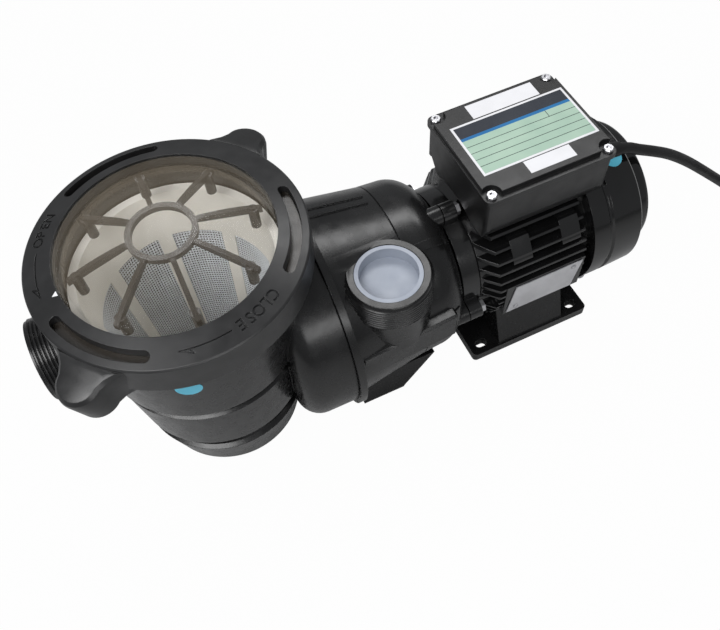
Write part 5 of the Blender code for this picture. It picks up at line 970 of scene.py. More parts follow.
def box_plan(inset, corner, count):
    """The terminal box's outline seen from above, drawn in by an inset."""
    half_y = BOX_HALF_Y - inset
    return rounded_rectangle(BOX_FRONT_X + inset, BOX_REAR_X - inset, -half_y, half_y, corner, count)


def box_screw_places():
    xs = (BOX_FRONT_X + BOX_SCREW_INSET_X, BOX_REAR_X - BOX_SCREW_INSET_X)
    ys = (BOX_SCREW_INSET_Y - BOX_HALF_Y, BOX_HALF_Y - BOX_SCREW_INSET_Y)
    return [(x, y) for x in xs for y in ys]


def make_terminal_box():
    side = [(-BOX_HALF_Y, BOX_TOP_Z), (-BOX_HALF_Y, BOX_FLOOR_Z), (-BOX_LOW_HALF_Y, BOX_LOW_Z)]
    side += [(BOX_CUT_Y, BOX_LOW_Z), (BOX_HALF_Y, BOX_CUT_Z), (BOX_HALF_Y, BOX_TOP_Z)]
    box = piece("box_moulding", extruded(side, BOX_FRONT_X, BOX_REAR_X), ALONG_X)
    keep(box, extruded(box_plan(0, BOX_CORNER, 3), BOX_LOW_Z / 2, 2 * BOX_TOP_Z))
    cavity = box_plan(BOX_WALL, BOX_CORNER, 2)
    cut(box, extruded(cavity, BOX_FLOOR_Z, 2 * BOX_TOP_Z))
    cut(box, cylinder(FIN_R + SEAT_GAP, 2 * BOX_FRONT_X, 2 * BOX_REAR_X, FINE_STEPS), SHAFT_FRAME)
    cover_front = FAN_COVER_FRONT_X - RUN_GAP
    cut(box, cylinder(FAN_COVER_R + RUN_GAP, cover_front, 2 * BOX_REAR_X, FINE_STEPS), SHAFT_FRAME)
    for x, y in box_screw_places():
        join(box, cylinder(BOX_BOSS_R, BOX_FLOOR_Z - BOX_WALL, BOX_TOP_Z, 10), at(x, y, 0))
    for x, y in box_screw_places():
        low = BOX_LID_RIM_Z - BOX_SCREW_LENGTH - SEAT_GAP
        cut(box, cylinder(BOX_SCREW_R + SCREW_GAP, low, 2 * BOX_TOP_Z, PIN_STEPS), at(x, y, 0))
    gland = at(0, CORD_Y, GLAND_Z) @ ALONG_X
    hole_front = BOX_REAR_X - GLAND_SHANK_LENGTH - SEAT_GAP
    cut(box, cylinder(GLAND_SHANK_R + SEAT_GAP, hole_front, 2 * BOX_REAR_X, SMALL_STEPS), gland)
    return box


def make_terminal_box_lid():
    front = BOX_FRONT_X - LID_OVERHANG
    rear = BOX_REAR_X + LID_OVERHANG
    half_y = BOX_HALF_Y + LID_OVERHANG
    rim = rounded_rectangle(front, rear, -half_y, half_y, BOX_LID_CORNER, 4)
    lid = piece("box_lid_moulding", extruded(rim, BOX_LID_LOW_Z, BOX_LID_RIM_Z))
    top_y = half_y - BOX_LID_INSET_Y
    top = rounded_rectangle(front + BOX_LID_INSET_X, rear - BOX_LID_INSET_X, -top_y, top_y, BOX_LID_CORNER, 3)
    plateau = piece("plateau", extruded(top, BOX_LID_LOW_Z + BOX_LID_RIM_T / 2, BOX_LID_TOP_Z))
    for x, y in box_screw_places():
        cut(plateau, cylinder(BOX_SCREW_NOTCH_R, BOX_LID_LOW_Z, 2 * BOX_LID_TOP_Z, SMALL_STEPS), at(x, y, 0))
    raised = bmesh.new()
    raised.from_mesh(plateau.data)
    bpy.data.objects.remove(plateau)
    join(lid, raised)
    hollow = box_plan(GASKET_INSET + GASKET_W + BOX_LID_WALL, BOX_LID_CORNER, 2)
    cut(lid, extruded(hollow, BOX_LID_LOW_Z / 2, BOX_LID_TOP_Z - BOX_LID_WALL))
    for x, y in box_screw_places():
        cut(lid, cylinder(BOX_SCREW_R + SCREW_GAP, BOX_TOP_Z, 2 * BOX_TOP_Z, PIN_STEPS), at(x, y, 0))
    return lid


def boot_frame(share):
    """A frame on the bent line of the cord's boot, a share of the way along it, local Z along the line."""
    bend_r = BOOT_LENGTH / BOOT_BEND
    turn = Matrix.Rotation(BOOT_BEND * share, 4, "Y")
    return at(BOOT_X, CORD_Y, GLAND_Z - bend_r) @ turn @ at(0, 0, bend_r) @ ALONG_X


def make_cable_gland():
    inner = BOX_REAR_X - GLAND_SHANK_LENGTH
    profile = [(0, inner), (GLAND_SHANK_R, inner), (GLAND_SHANK_R, GLAND_X), (GLAND_FLANGE_R, GLAND_X)]
    profile += [(GLAND_FLANGE_R, BOOT_X), (BOOT_ROOT_R, BOOT_X)]
    for i in range(1, BOOT_STEPS + 1):
        share = i / BOOT_STEPS
        profile += [(BOOT_ROOT_R + (BOOT_TIP_R - BOOT_ROOT_R) * share, BOOT_X + BOOT_LENGTH * share)]
    gland = turned(profile + [(0, BOOT_X + BOOT_LENGTH)], SMALL_STEPS)
    straight = at(0, CORD_Y, GLAND_Z) @ ALONG_X
    for vert in gland.verts:
        share = (vert.co.z - BOOT_X) / BOOT_LENGTH
        across = Vector((vert.co.x, vert.co.y, 0))
        vert.co = boot_frame(share) @ across if share > 0 else straight @ vert.co
    return piece("cable_gland_boot", gland)


def smooth_route(points, step):
    """Points about a step apart on a smooth curve through the route's own points."""
    ends = [points[0] * 2 - points[1]] + points + [points[-1] * 2 - points[-2]]
    route = []
    for before, start, end, after in zip(ends, ends[1:], ends[2:], ends[3:]):
        count = max(1, round((end - start).length / step))
        for i in range(count):
            t = i / count
            leave = (end - before) / 2
            arrive = (after - start) / 2
            bend = start * (2 * t**3 - 3 * t**2 + 1) + leave * (t**3 - 2 * t**2 + t)
            route.append(bend + end * (3 * t**2 - 2 * t**3) + arrive * (t**3 - t**2))
    return route + [points[-1]]


def coil_points():
    """The put-away length: it spirals in on the ground, climbs where it turns back and spirals out."""
    half_turn = COIL_TURNS * math.pi
    count = round(COIL_TURNS * COIL_POINTS)
    points = []
    for i in range(count + 1):
        offset = -half_turn + 2 * half_turn * i / count
        radius = COIL_CORE_R + COIL_PITCH * abs(offset) / (2 * math.pi)
        climb = math.sin(max(-math.pi / 2, min(math.pi / 2, offset)))
        angle = math.pi / 2 - (offset + half_turn)
        height = COIL_LOW_Z + COIL_PITCH * (0.5 + 0.5 * climb)
        points.append(Vector((COIL_X + radius * math.cos(angle), COIL_Y + radius * math.sin(angle), height)))
    lead_in = points[0] - Vector((CORD_D, 0, 0))
    tail = [points[-1] - Vector((COIL_TAIL * share, 0, 0)) for share in (0.5, 1)]
    return [lead_in] + points + tail


# Finishes

def nodes_of(name):
    made = bpy.data.materials.new(name)
    made.use_nodes = True
    tree = made.node_tree
    return made, tree, tree.nodes["Principled BSDF"]


def noise(tree, scale, detail=3.0):
    place = tree.nodes.new("ShaderNodeTexCoord")
    made = tree.nodes.new("ShaderNodeTexNoise")
    made.inputs["Scale"].default_value = scale
    made.inputs["Detail"].default_value = detail
    made.inputs["Roughness"].default_value = 0.55
    tree.links.new(place.outputs["Object"], made.inputs["Vector"])
    return made.outputs["Fac"]


def ramp(tree, value, low, high):
    """A value's low and high ends as two colours."""
    made = tree.nodes.new("ShaderNodeValToRGB")
    made.color_ramp.elements[0].position = 0.35
    made.color_ramp.elements[1].position = 0.65
    made.color_ramp.elements[0].color = (*low, 1)
    made.color_ramp.elements[1].color = (*high, 1)
    tree.links.new(value, made.inputs["Fac"])
    return made.outputs["Color"]


def spread(tree, value, low, high):
    made = tree.nodes.new("ShaderNodeMapRange")
    made.inputs["From Min"].default_value = 0.3
    made.inputs["From Max"].default_value = 0.7
    made.inputs["To Min"].default_value = low
    made.inputs["To Max"].default_value = high
    tree.links.new(value, made.inputs["Value"])
    return made.outputs["Result"]


def finish_of(name, low, high, rough, grain, bump, metallic=0.0, specular=0.5, edge=0.0):
    """A material with two close tones, uneven gloss, a fine grain and, where given, softened edges."""
    made, tree, shader = nodes_of(name)
    tree.links.new(ramp(tree, noise(tree, PATCH_SCALE), low, high), shader.inputs["Base Color"])
    tree.links.new(spread(tree, noise(tree, PATCH_SCALE * 2.5, 5), *rough), shader.inputs["Roughness"])
    shader.inputs["Metallic"].default_value = metallic
    shader.inputs["Specular IOR Level"].default_value = specular
    relief = tree.nodes.new("ShaderNodeBump")
    relief.inputs["Strength"].default_value = bump
    relief.inputs["Distance"].default_value = GRAIN_DEPTH
    tree.links.new(noise(tree, grain, 2), relief.inputs["Height"])
    tree.links.new(relief.outputs["Normal"], shader.inputs["Normal"])
    if edge:
        softened = tree.nodes.new("ShaderNodeBevel")
        softened.samples = 4
        softened.inputs["Radius"].default_value = edge
        tree.links.new(softened.outputs["Normal"], relief.inputs["Normal"])
    return made


def grey(level):
    return (level, level, level * 1.03)


def clear_finish(name, low, high, alpha_low, alpha_high, rough):
    """A see-through moulding that is thinner looking face on than at its edges."""
    made = finish_of(name, low, high, rough, 400.0, 0.02)
    tree = made.node_tree
    shader = tree.nodes["Principled BSDF"]
    facing = tree.nodes.new("ShaderNodeLayerWeight")
    facing.inputs["Blend"].default_value = 0.35
    alpha = tree.nodes.new("ShaderNodeMapRange")
    alpha.inputs["To Min"].default_value = alpha_low
    alpha.inputs["To Max"].default_value = alpha_high
    tree.links.new(facing.outputs["Facing"], alpha.inputs["Value"])
    tree.links.new(alpha.outputs["Result"], shader.inputs["Alpha"])
    made.blend_method = "BLEND"
    return made


def print_finish(name, low, high):
    return finish_of(name, low, high, (0.35, 0.50), 900, 0.04, specular=0.25)


def make_finishes():
    """Every finish by its name, which is a solid's own slot or one that only the looks have."""
    soft = {"specular": 0.46, "edge": 0.0007}
    gloss = {"specular": 0.62, "edge": 0.0006}
    metal = {"metallic": 1.0}
    cream = ((0.88, 0.85, 0.78), (0.94, 0.91, 0.84))
    weave = ((0.66, 0.69, 0.72), (0.74, 0.77, 0.80))
    finishes = [
        finish_of("black_moulding", grey(0.0050), grey(0.0090), (0.20, 0.32), 700, 0.10, **soft),
        finish_of("ring_moulding", grey(0.0110), grey(0.0180), (0.30, 0.42), 800, 0.14, **soft),
        finish_of("box_moulding", grey(0.0075), grey(0.0120), (0.30, 0.42), 1100, 0.18, **soft),
        finish_of("black_enamel", grey(0.0035), grey(0.0060), (0.13, 0.24), 500, 0.12, **gloss),
        finish_of("gloss_moulding", grey(0.0035), grey(0.0055), (0.09, 0.15), 300, 0.05, **gloss),
        finish_of("cream_moulding", *cream, (0.45, 0.60), 600, 0.06, specular=0.30),
        finish_of("basket_weave", *weave, (0.45, 0.60), 600, 0.06, specular=0.30),
        finish_of("pale_cap", (0.27, 0.30, 0.36), (0.32, 0.35, 0.41), (0.35, 0.50), 500, 0.05),
        finish_of("seal_rubber", grey(0.006), grey(0.011), (0.60, 0.75), 900, 0.12, specular=0.25),
        finish_of("cord_rubber", grey(0.006), grey(0.010), (0.42, 0.55), 1200, 0.12, specular=0.30),
        finish_of("bare_aluminium", grey(0.62), grey(0.72), (0.42, 0.58), 1500, 0.10, **metal),
        finish_of("plated_steel", grey(0.45), grey(0.60), (0.28, 0.42), 900, 0.06, **metal),
        finish_of("steel", grey(0.34), grey(0.46), (0.25, 0.42), 1400, 0.10, **metal),
        finish_of("copper_wire", (0.50, 0.20, 0.08), (0.66, 0.29, 0.12), (0.25, 0.40), 500, 0.3, **metal),
        finish_of("grey_moulding", grey(0.16), grey(0.22), (0.40, 0.55), 700, 0.10),
        finish_of("seal_ceramic", (0.55, 0.52, 0.47), (0.66, 0.63, 0.58), (0.25, 0.35), 900, 0.04),
        finish_of("capacitor_can", grey(0.30), grey(0.38), (0.35, 0.50), 700, 0.08),
        clear_finish("clear_moulding", (0.46, 0.38, 0.28), (0.54, 0.46, 0.35), 0.02, 0.17, (0.04, 0.08)),
        # Dark, nearly opaque finish for the clear lid's flange and ribs: its darkness is painted shade,
        # standing in for how dark the clear plastic looks there
        clear_finish("lid_painted_shade", (0.026, 0.022, 0.018), (0.040, 0.034, 0.028), 0.74, 0.90, (0.2, 0.3)),
        print_finish("print_white", grey(0.70), grey(0.76)),
        print_finish("print_dark", (0.016, 0.020, 0.030), (0.022, 0.027, 0.038)),
        print_finish("print_blue", (0.006, 0.12, 0.32), (0.009, 0.15, 0.37)),
        print_finish("print_green", (0.33, 0.47, 0.38), (0.38, 0.52, 0.42)),
        print_finish("sticker_blue", (0.10, 0.46, 0.62), (0.14, 0.53, 0.70)),
    ]
    return {made.name.split(".")[0]: made for made in finishes}


# Dressing

def smooth(obj, angle=32):
    mesh = obj.data
    mesh.polygons.foreach_set("use_smooth", [True] * len(mesh.polygons))
    mesh.set_sharp_from_angle(angle=math.radians(angle))


def dress(obj, body, slot, finish=None, nodes=(), angle=32):
    """Gives a piece its finish, its body and the solids that it stands for."""
    if obj.type == "MESH":
        smooth(obj, angle)
    obj.data.materials.clear()
    obj.data.materials.append(FINISH[finish or slot])
    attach(obj, body)
    if nodes:
        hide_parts(*nodes)
    return obj


def finish_solids():
    """Every solid takes the finish named by its own material slot."""
    for node in frame["nodes"].values():
        name = node.data.materials[0].name.split(".")[0]
        node.data.materials.clear()
        node.data.materials.append(FINISH[name])
        smooth(node, 40)


# Pieces

def ring_frame(angle, radius):
    """A frame on the locking ring's sloping top: local X runs clockwise, Y outwards and down."""
    slope = math.atan2(RING_INNER_Z - RING_EDGE_Z, RING_R - RING_EDGE_ROUND - RING_INNER_R)
    fall = (radius - RING_INNER_R) * math.tan(slope)
    out = POT_FRAME @ Matrix.Rotation(angle, 4, "Z") @ at(radius, 0, RING_INNER_Z - fall)
    return out @ Matrix.Rotation(slope, 4, "Y") @ Matrix.Rotation(-math.pi / 2, 4, "Z")


def letter_mesh(character, size, depth):
    """One letter as a closed solid, centred in X and Y, sunk and raised by a depth."""
    curve = bpy.data.curves.new("letter", "FONT")
    curve.body = character
    curve.size = size / 0.7
    curve.align_x = "CENTER"
    curve.align_y = "CENTER"
    curve.extrude = depth
    curve.offset = size * 0.018
    curve.resolution_u = 3
    holder = bpy.data.objects.new("letter", curve)
    bpy.context.scene.collection.objects.link(holder)
    graph = bpy.context.evaluated_depsgraph_get()
    data = bpy.data.meshes.new_from_object(holder.evaluated_get(graph))
    mesh = bmesh.new()
    mesh.from_mesh(data)
    bmesh.ops.remove_doubles(mesh, verts=mesh.verts, dist=1e-6)
    bmesh.ops.recalc_face_normals(mesh, faces=mesh.faces)
    bpy.data.objects.remove(holder)
    bpy.data.curves.remove(curve)
    bpy.data.meshes.remove(data)
    return mesh


def bar(x_1, y_1, x_2, y_2, width, depth):
    """A straight bar between two points of the local plane."""
    run = Vector((x_2 - x_1, y_2 - y_1))
    side = Vector((-run.y, run.x)).normalized() * width / 2
    outline = [(x_1 - side.x, y_1 - side.y), (x_2 - side.x, y_2 - side.y)]
    outline += [(x_2 + side.x, y_2 + side.y), (x_1 + side.x, y_1 + side.y)]
    return extruded(outline, -depth, depth)


def engrave_arrow(ring, start, end):
    """A long arrow cut into the ring's top from one angle to another, its barb on the outer side."""
    steps = 8
    turn = 1 if end > start else -1
    angles = [start + (end - start) * i / steps for i in range(steps + 1)]
    for first, second in zip(angles, angles[1:]):
        middle = (first + second) / 2
        half = LETTER_R * abs(second - first) / 2 * 1.06
        cut(ring, bar(-half, 0, half, 0, MARK_LINE_W, LETTER_DEPTH), ring_frame(middle, LETTER_R))
    tip = ring_frame(end, LETTER_R)
    back = turn * ARROW_BARB * 1.6
    cut(ring, bar(0, 0, back, ARROW_BARB * 0.55, MARK_LINE_W, LETTER_DEPTH), tip)
    cut(ring, bar(back, ARROW_BARB * 0.55, back * 0.72, 0, MARK_LINE_W, LETTER_DEPTH), tip)


def make_ring():
    ring = make_lock_ring()
    for word, middle in RING_WORDS:
        for i, character in enumerate(word):
            angle = middle - (i - (len(word) - 1) / 2) * LETTER_PITCH
            cut(ring, letter_mesh(character, LETTER_H, LETTER_DEPTH), ring_frame(angle, LETTER_R))
    for start, end in RING_ARROWS:
        engrave_arrow(ring, start, end)
    dress(ring, "lock_ring", "ring_moulding", nodes=["lock_ring"], angle=26)
    mark_place = ring_frame(RING_MARK_ANGLE, RING_INNER_R + RING_MARK_INSET)
    mark = piece("ring_mark", extruded(RING_MARK, 0.0, LABEL_T), mark_place)
    dress(mark, "lock_ring", "ring_moulding", "print_white")


def make_lid():
    flange_r = RING_SKIRT_R - LID_FLANGE_GAP
    outer_r = RING_INNER_R - RUN_GAP
    inner_r = outer_r - LID_WALL
    shoulder_z = RING_INNER_Z
    crown_z = shoulder_z + LID_CROWN
    flange_z = LID_LOW_Z + LID_FLANGE_T
    outside = dome(outer_r - LID_SHOULDER, crown_z, shoulder_z, DOME_STEPS)
    inside = dome(inner_r - LID_SHOULDER, crown_z - LID_WALL, shoulder_z - LID_WALL, DOME_STEPS)
    corner = arc(outer_r - LID_SHOULDER, shoulder_z - LID_SHOULDER, LID_SHOULDER, math.pi / 2, 0, 3)
    profile = outside[:-1] + corner + [(outer_r, LID_LOW_Z), (inner_r, LID_LOW_Z)]
    profile += [(inner_r, shoulder_z - LID_WALL - LID_SHOULDER)]
    lid = piece("lid_dome", turned(profile + inside[::-1], FINE_STEPS), POT_FRAME)
    dress(lid, "lid", "clear_moulding", nodes=["clear_lid"], angle=50)
    # The clear flange takes the dark lid finish: painted shade where the ring's slots show black over it
    flange = piece("lid_flange", tube(outer_r, flange_r, LID_LOW_Z, flange_z, FINE_STEPS), POT_FRAME)
    dress(flange, "lid", "clear_moulding", "lid_painted_shade")
    hub_z = crown_z - LID_WALL
    hub_in = LID_HUB_R - LID_HUB_WALL
    hub = tube(hub_in, LID_HUB_R, hub_z - LID_HUB_H, hub_z - LID_WALL / 2)
    ribs = piece("lid_ribs", hub, POT_FRAME)
    rib_low_z = shoulder_z - LID_WALL
    rib_reach = inner_r - LID_SHOULDER
    rib_root = LID_HUB_R - LID_HUB_WALL / 2
    drop = LID_WALL / 8
    for i in range(LID_RIBS):
        turn = POT_FRAME @ Matrix.Rotation(i * 2 * math.pi / LID_RIBS, 4, "Z")
        outline = [(rib_root, hub_z - LID_RIB_H), (rib_reach, rib_low_z - LID_RIB_H)]
        outline += [(r, z - drop) for r, z in inside[::-1] if r > LID_HUB_R]
        outline += [(rib_root, hub_z - LID_WALL / 2 - drop)]
        join(ribs, extruded(outline, -LID_RIB_W / 2, LID_RIB_W / 2), turn @ TO_NEAR)
        post_z = hub_z - (hub_z - rib_low_z) * (LID_POST_R / rib_reach) ** 2
        foot_z = post_z - LID_RIB_H - LID_POST_LENGTH
        post = cylinder(LID_POST_RADIUS, foot_z, post_z - LID_WALL / 2, PIN_STEPS)
        join(ribs, post, turn @ at(LID_POST_R, 0, 0))
    # The ribs, hub and posts take the dark lid finish: painted shade, since the real ribs are clear plastic
    dress(ribs, "lid", "clear_moulding", "lid_painted_shade")


def window_grid(angle, low_z, high_z):
    """One window's mesh as a sheet of small squares on the basket's tapered wall."""
    mesh = bmesh.new()
    rows = []
    turns = [angle + WINDOW_SPAN * (i / WINDOW_COLUMNS - 0.5) for i in range(WINDOW_COLUMNS + 1)]
    for row in range(WINDOW_ROWS + 1):
        z = low_z + (high_z - low_z) * row / WINDOW_ROWS
        radius = basket_radius(z) - BASKET_WALL / 2
        rows.append([mesh.verts.new((radius * math.cos(a), radius * math.sin(a), z)) for a in turns])
    for lower, upper in zip(rows, rows[1:]):
        for i in range(WINDOW_COLUMNS):
            mesh.faces.new((lower[i], lower[i + 1], upper[i + 1], upper[i]))
    return mesh


def wired(obj, thickness):
    """Turns a sheet of faces into bars along its edges."""
    wire = obj.modifiers.new("bars", "WIREFRAME")
    wire.thickness = thickness
    wire.use_boundary = True
    graph = bpy.context.evaluated_depsgraph_get()
    result = bpy.data.meshes.new_from_object(obj.evaluated_get(graph))
    obj.modifiers.clear()
    obj.data = result


def base_grid(radius, z):
    """The basket's floor as a sheet of small squares, cut to a disc."""
    mesh = bmesh.new()
    pitch = NET_PITCH
    count = int(radius / pitch)
    verts = {}
    for i in range(-count, count + 1):
        for j in range(-count, count + 1):
            if math.hypot(i, j) * pitch < radius:
                verts[i, j] = mesh.verts.new((i * pitch, j * pitch, z))
    for i, j in list(verts):
        corners = [(i, j), (i + 1, j), (i + 1, j + 1), (i, j + 1)]
        if all(c in verts for c in corners):
            mesh.faces.new([verts[c] for c in corners])
    return mesh


def make_basket():
    low = LEDGE_Z + SEAT_GAP
    rim_r = POT_MOUTH_R - BASKET_RIM_GAP
    base_z = low - BASKET_DEPTH
    top_r = basket_radius(low)
    base_r = basket_radius(base_z)
    rim_z = low + BASKET_RIM_T
    profile = [(top_r - BASKET_WALL, rim_z), (rim_r, rim_z), (rim_r, low), (top_r, low), (base_r, base_z)]
    profile += [(BASKET_HOLE_R, base_z), (BASKET_HOLE_R, base_z + BASKET_WALL)]
    profile += [(base_r - BASKET_WALL, base_z + BASKET_WALL)]
    basket = piece("basket_frame", turned(profile, STEPS), POT_FRAME)
    window_low = base_z + WINDOW_FOOT_RISE
    window_high = low - WINDOW_TOP_DROP
    half = math.tan(WINDOW_SPAN / 2)
    angles = [(window + 0.5) * 2 * math.pi / WINDOWS for window in range(WINDOWS)]
    for angle in angles:
        near = base_r / 2
        outline = [(near, -near * half), (rim_r, -rim_r * half), (rim_r, rim_r * half), (near, near * half)]
        cut(basket, extruded(outline, window_low, window_high), POT_FRAME @ Matrix.Rotation(angle, 4, "Z"))
    dress(basket, "basket", "cream_moulding", nodes=["strainer_basket"])
    sheet = bmesh.new()
    for angle in angles:
        data = bpy.data.meshes.new("window")
        grid = window_grid(angle, window_low, window_high)
        grid.to_mesh(data)
        grid.free()
        sheet.from_mesh(data)
    data = bpy.data.meshes.new("floor")
    grid = base_grid(NET_R, base_z + BASKET_WALL / 2)
    grid.to_mesh(data)
    grid.free()
    sheet.from_mesh(data)
    bars = piece("basket_mesh", sheet, POT_FRAME)
    wired(bars, MESH_BAR)
    dress(bars, "basket", "cream_moulding", "basket_weave")


def strip_mesh(width, start, end):
    """A raised strip that follows the casing. Local X runs along the shaft and Y points outwards."""
    wall = [(x, r) for r, x in casing_outline() if start < x < end and r > CASING_REAR_R / 2]
    ends = [(x, casing_radius(x)) for x in (start, end)]
    top = [ends[0]] + wall + [ends[1]]
    outline = [(x, r + STRIP_PROUD) for x, r in top] + [(x, r - 3 * STRIP_PROUD) for x, r in top[::-1]]
    return extruded(outline, -width / 2, width / 2)


def casing_radius(x):
    """The casing's outside radius at a place along the shaft."""
    points = [(place, r) for r, place in casing_outline() if r > 0]
    for (x_1, r_1), (x_2, r_2) in zip(points, points[1:]):
        if x_1 <= x <= x_2 and x_2 > x_1:
            return r_1 + (r_2 - r_1) * (x - x_1) / (x_2 - x_1)
    return CASING_REAR_R


def gusset_mesh():
    """The sloping back of the casing's foot, from its lower rear edge up under the casing."""
    rear = FRONT_FOOT_X + FRONT_FOOT_HALF_X
    low_half = FRONT_FOOT_HALF_Y - GUSSET_INSET
    high_half = low_half - (FRONT_FOOT_HALF_Y - FRONT_FOOT_TOP_HALF_Y) * GUSSET_RISE / FRONT_FOOT_H
    mesh = bmesh.new()
    low = GUSSET_INSET
    corners = [(rear - GUSSET_LAP, low_half, low), (rear, low_half, low)]
    corners += [(rear + GUSSET_REACH, high_half, GUSSET_RISE), (rear - GUSSET_LAP, high_half, GUSSET_RISE)]
    for x, half, z in corners:
        mesh.verts.new((x, -half, z))
        mesh.verts.new((x, half, z))
    bmesh.ops.convex_hull(mesh, input=mesh.verts)
    bmesh.ops.recalc_face_normals(mesh, faces=mesh.faces)
    return mesh


def make_mouldings():
    dress(make_strainer_pot(), "pump_body", "black_moulding", nodes=["strainer_pot"])
    casing = make_pump_casing()
    for angle, width, start, end in CASING_STRIPS:
        join(casing, strip_mesh(width, start, end), about_shaft(math.radians(angle)) @ TO_FAR)
    join(casing, gusset_mesh())
    dress(casing, "pump_body", "black_moulding", nodes=["pump_casing"])
    dress(make_port_cap(), "port_cap", "pale_cap", nodes=["port_cap"])
    dress(make_motor_bracket(), "pump_body", "black_enamel", nodes=["motor_bracket"])
    dress(make_motor_housing(), "pump_body", "black_enamel", nodes=["motor_housing"])
    dress(make_fan_cover(), "pump_body", "gloss_moulding", nodes=["fan_cover"])
    dress(make_motor_foot(), "pump_body", "black_moulding", nodes=["motor_foot"])
    dress(make_terminal_box(), "pump_body", "box_moulding", nodes=["terminal_box"])
    dress(make_terminal_box_lid(), "pump_body", "box_moulding", nodes=["terminal_box_lid"])
    dress(make_cable_gland(), "pump_body", "cord_rubber", nodes=["cable_gland"], angle=50)


def sticker(name, low, high, layer, finish):
    """A thin print or label on the terminal box's lid, in layers from the lid up."""
    low_z = BOX_LID_TOP_Z + layer * LABEL_T
    outline = [(low[0], low[1]), (high[0], low[1]), (high[0], high[1]), (low[0], high[1])]
    plate = piece(name, extruded(outline, low_z, low_z + LABEL_T))
    dress(plate, "pump_body", "box_moulding", finish)


def make_labels():
    """A bare data label with a dark head, a blue stripe and a ruled green field, and two blank stickers."""
    left, right = LABEL_X
    low, high = LABEL_Y
    inner_left = left + LABEL_EDGE
    inner_right = right - LABEL_EDGE
    head = high - LABEL_HEAD_H
    stripe = head - LABEL_STRIPE_H
    sticker("label_back", (left, low), (right, high), 0, "print_white")
    sticker("label_head", (inner_left, head), (inner_right, high - LABEL_EDGE), 1, "print_dark")
    sticker("label_stripe", (inner_left, stripe), (inner_right, head), 1, "print_blue")
    sticker("label_field", (inner_left, low + LABEL_EDGE), (inner_right, stripe), 1, "print_green")
    pitch = (stripe - low - LABEL_EDGE) / LABEL_ROWS
    for row in range(1, LABEL_ROWS):
        y = low + LABEL_EDGE + row * pitch
        sticker(f"label_rule_{row}", (inner_left, y), (inner_right, y + LABEL_RULE_W), 2, "print_dark")
    column_end = LABEL_COLUMN_X + LABEL_RULE_W
    sticker("label_column", (LABEL_COLUMN_X, stripe - pitch), (column_end, stripe), 2, "print_dark")
    sticker("sticker_far", *FAR_STICKER, 0, "print_white")
    sticker("sticker_near", *NEAR_STICKER, 1, "print_white")


def curved_disc(name, radius_at, middle, height, size, frame_at):
    """A round sticker bent onto a turned wall."""
    mesh = bmesh.new()
    rows = DOT_STEPS
    columns = DOT_STEPS
    grids = []
    for lift in DOT_LIFTS:
        grid = []
        for row in range(rows + 1):
            rise = size * math.cos(math.pi * row / rows)
            reach = size * math.sin(math.pi * row / rows)
            radius = radius_at(height + rise) + lift
            turns = [middle + reach * (2 * column / columns - 1) / radius for column in range(columns + 1)]
            places = [(radius * math.cos(a), radius * math.sin(a), height + rise) for a in turns]
            grid.append([mesh.verts.new(place) for place in places])
        grids.append(grid)
    inner, outer = grids
    for grid in grids:
        for upper, lower in zip(grid, grid[1:]):
            for column in range(columns):
                mesh.faces.new((upper[column], upper[column + 1], lower[column + 1], lower[column]))
    for row in range(rows):
        for side in (0, columns):
            mesh.faces.new((inner[row][side], inner[row + 1][side], outer[row + 1][side], outer[row][side]))
    for row in (0, rows):
        for column in range(columns):
            ends = (inner[row][column], inner[row][column + 1], outer[row][column + 1], outer[row][column])
            mesh.faces.new(ends)
    bmesh.ops.remove_doubles(mesh, verts=mesh.verts, dist=1e-6)
    bmesh.ops.dissolve_degenerate(mesh, dist=1e-6, edges=mesh.edges)
    bmesh.ops.recalc_face_normals(mesh, faces=mesh.faces)
    dot = piece(name, mesh, frame_at)
    dress(dot, "pump_body", "black_moulding", "sticker_blue")


def pot_wall(z):
    """The radius of the pot's top tier at a height."""
    top_z = POT_RIM_Z - POT_RIM_H - GROOVE_SETBACK
    share = (top_z - z) / (top_z - TIER_1_LOW_Z)
    return POT_TOP_R - POT_TAPER * max(0.0, min(1.0, share))


def cover_wall(x):
    """The radius of the fan cover behind its groove, at a place along the shaft."""
    start = FAN_COVER_FRONT_X + GROOVE_FROM_FRONT + GROOVE_W
    end = FAN_COVER_EDGE_X - FAN_COVER_EDGE
    return FAN_COVER_R - FAN_COVER_TAPER * max(0.0, min(1.0, (x - start) / (end - start)))


def make_dots():
    curved_disc("pot_dot", pot_wall, *POT_DOT, POT_FRAME)
    curved_disc("cover_dot", cover_wall, *COVER_DOT, SHAFT_FRAME)


# Cord

def cord_points():
    exit_frame = boot_frame(1)
    start = [exit_frame @ Vector((0, 0, SEAT_GAP)), exit_frame @ Vector((0, 0, CORD_R))]
    coil = coil_points()
    hand_over = coil[0] - Vector((SEAT_GAP, 0, 0))
    middle = [Vector((x, CORD_Y, z)) for x, z in CORD_ROUTE_XZ]
    free = smooth_route(start + middle + [hand_over], CORD_STEP)
    return free[:-1] + coil


def make_cord():
    points = cord_points()
    curve = bpy.data.curves.new("mains_cord", "CURVE")
    curve.dimensions = "3D"
    curve.bevel_depth = CORD_R
    curve.bevel_resolution = 6
    curve.use_fill_caps = True
    spline = curve.splines.new("POLY")
    spline.points.add(len(points) - 1)
    for target, point in zip(spline.points, points):
        target.co = (*point, 1)
    spline.use_smooth = True
    cord = bpy.data.objects.new("mains_cord", curve)
    bpy.context.scene.collection.objects.link(cord)
    dress(cord, "pump_body", "cord_rubber", nodes=["power_cord", "cord_coil"])


# Studio

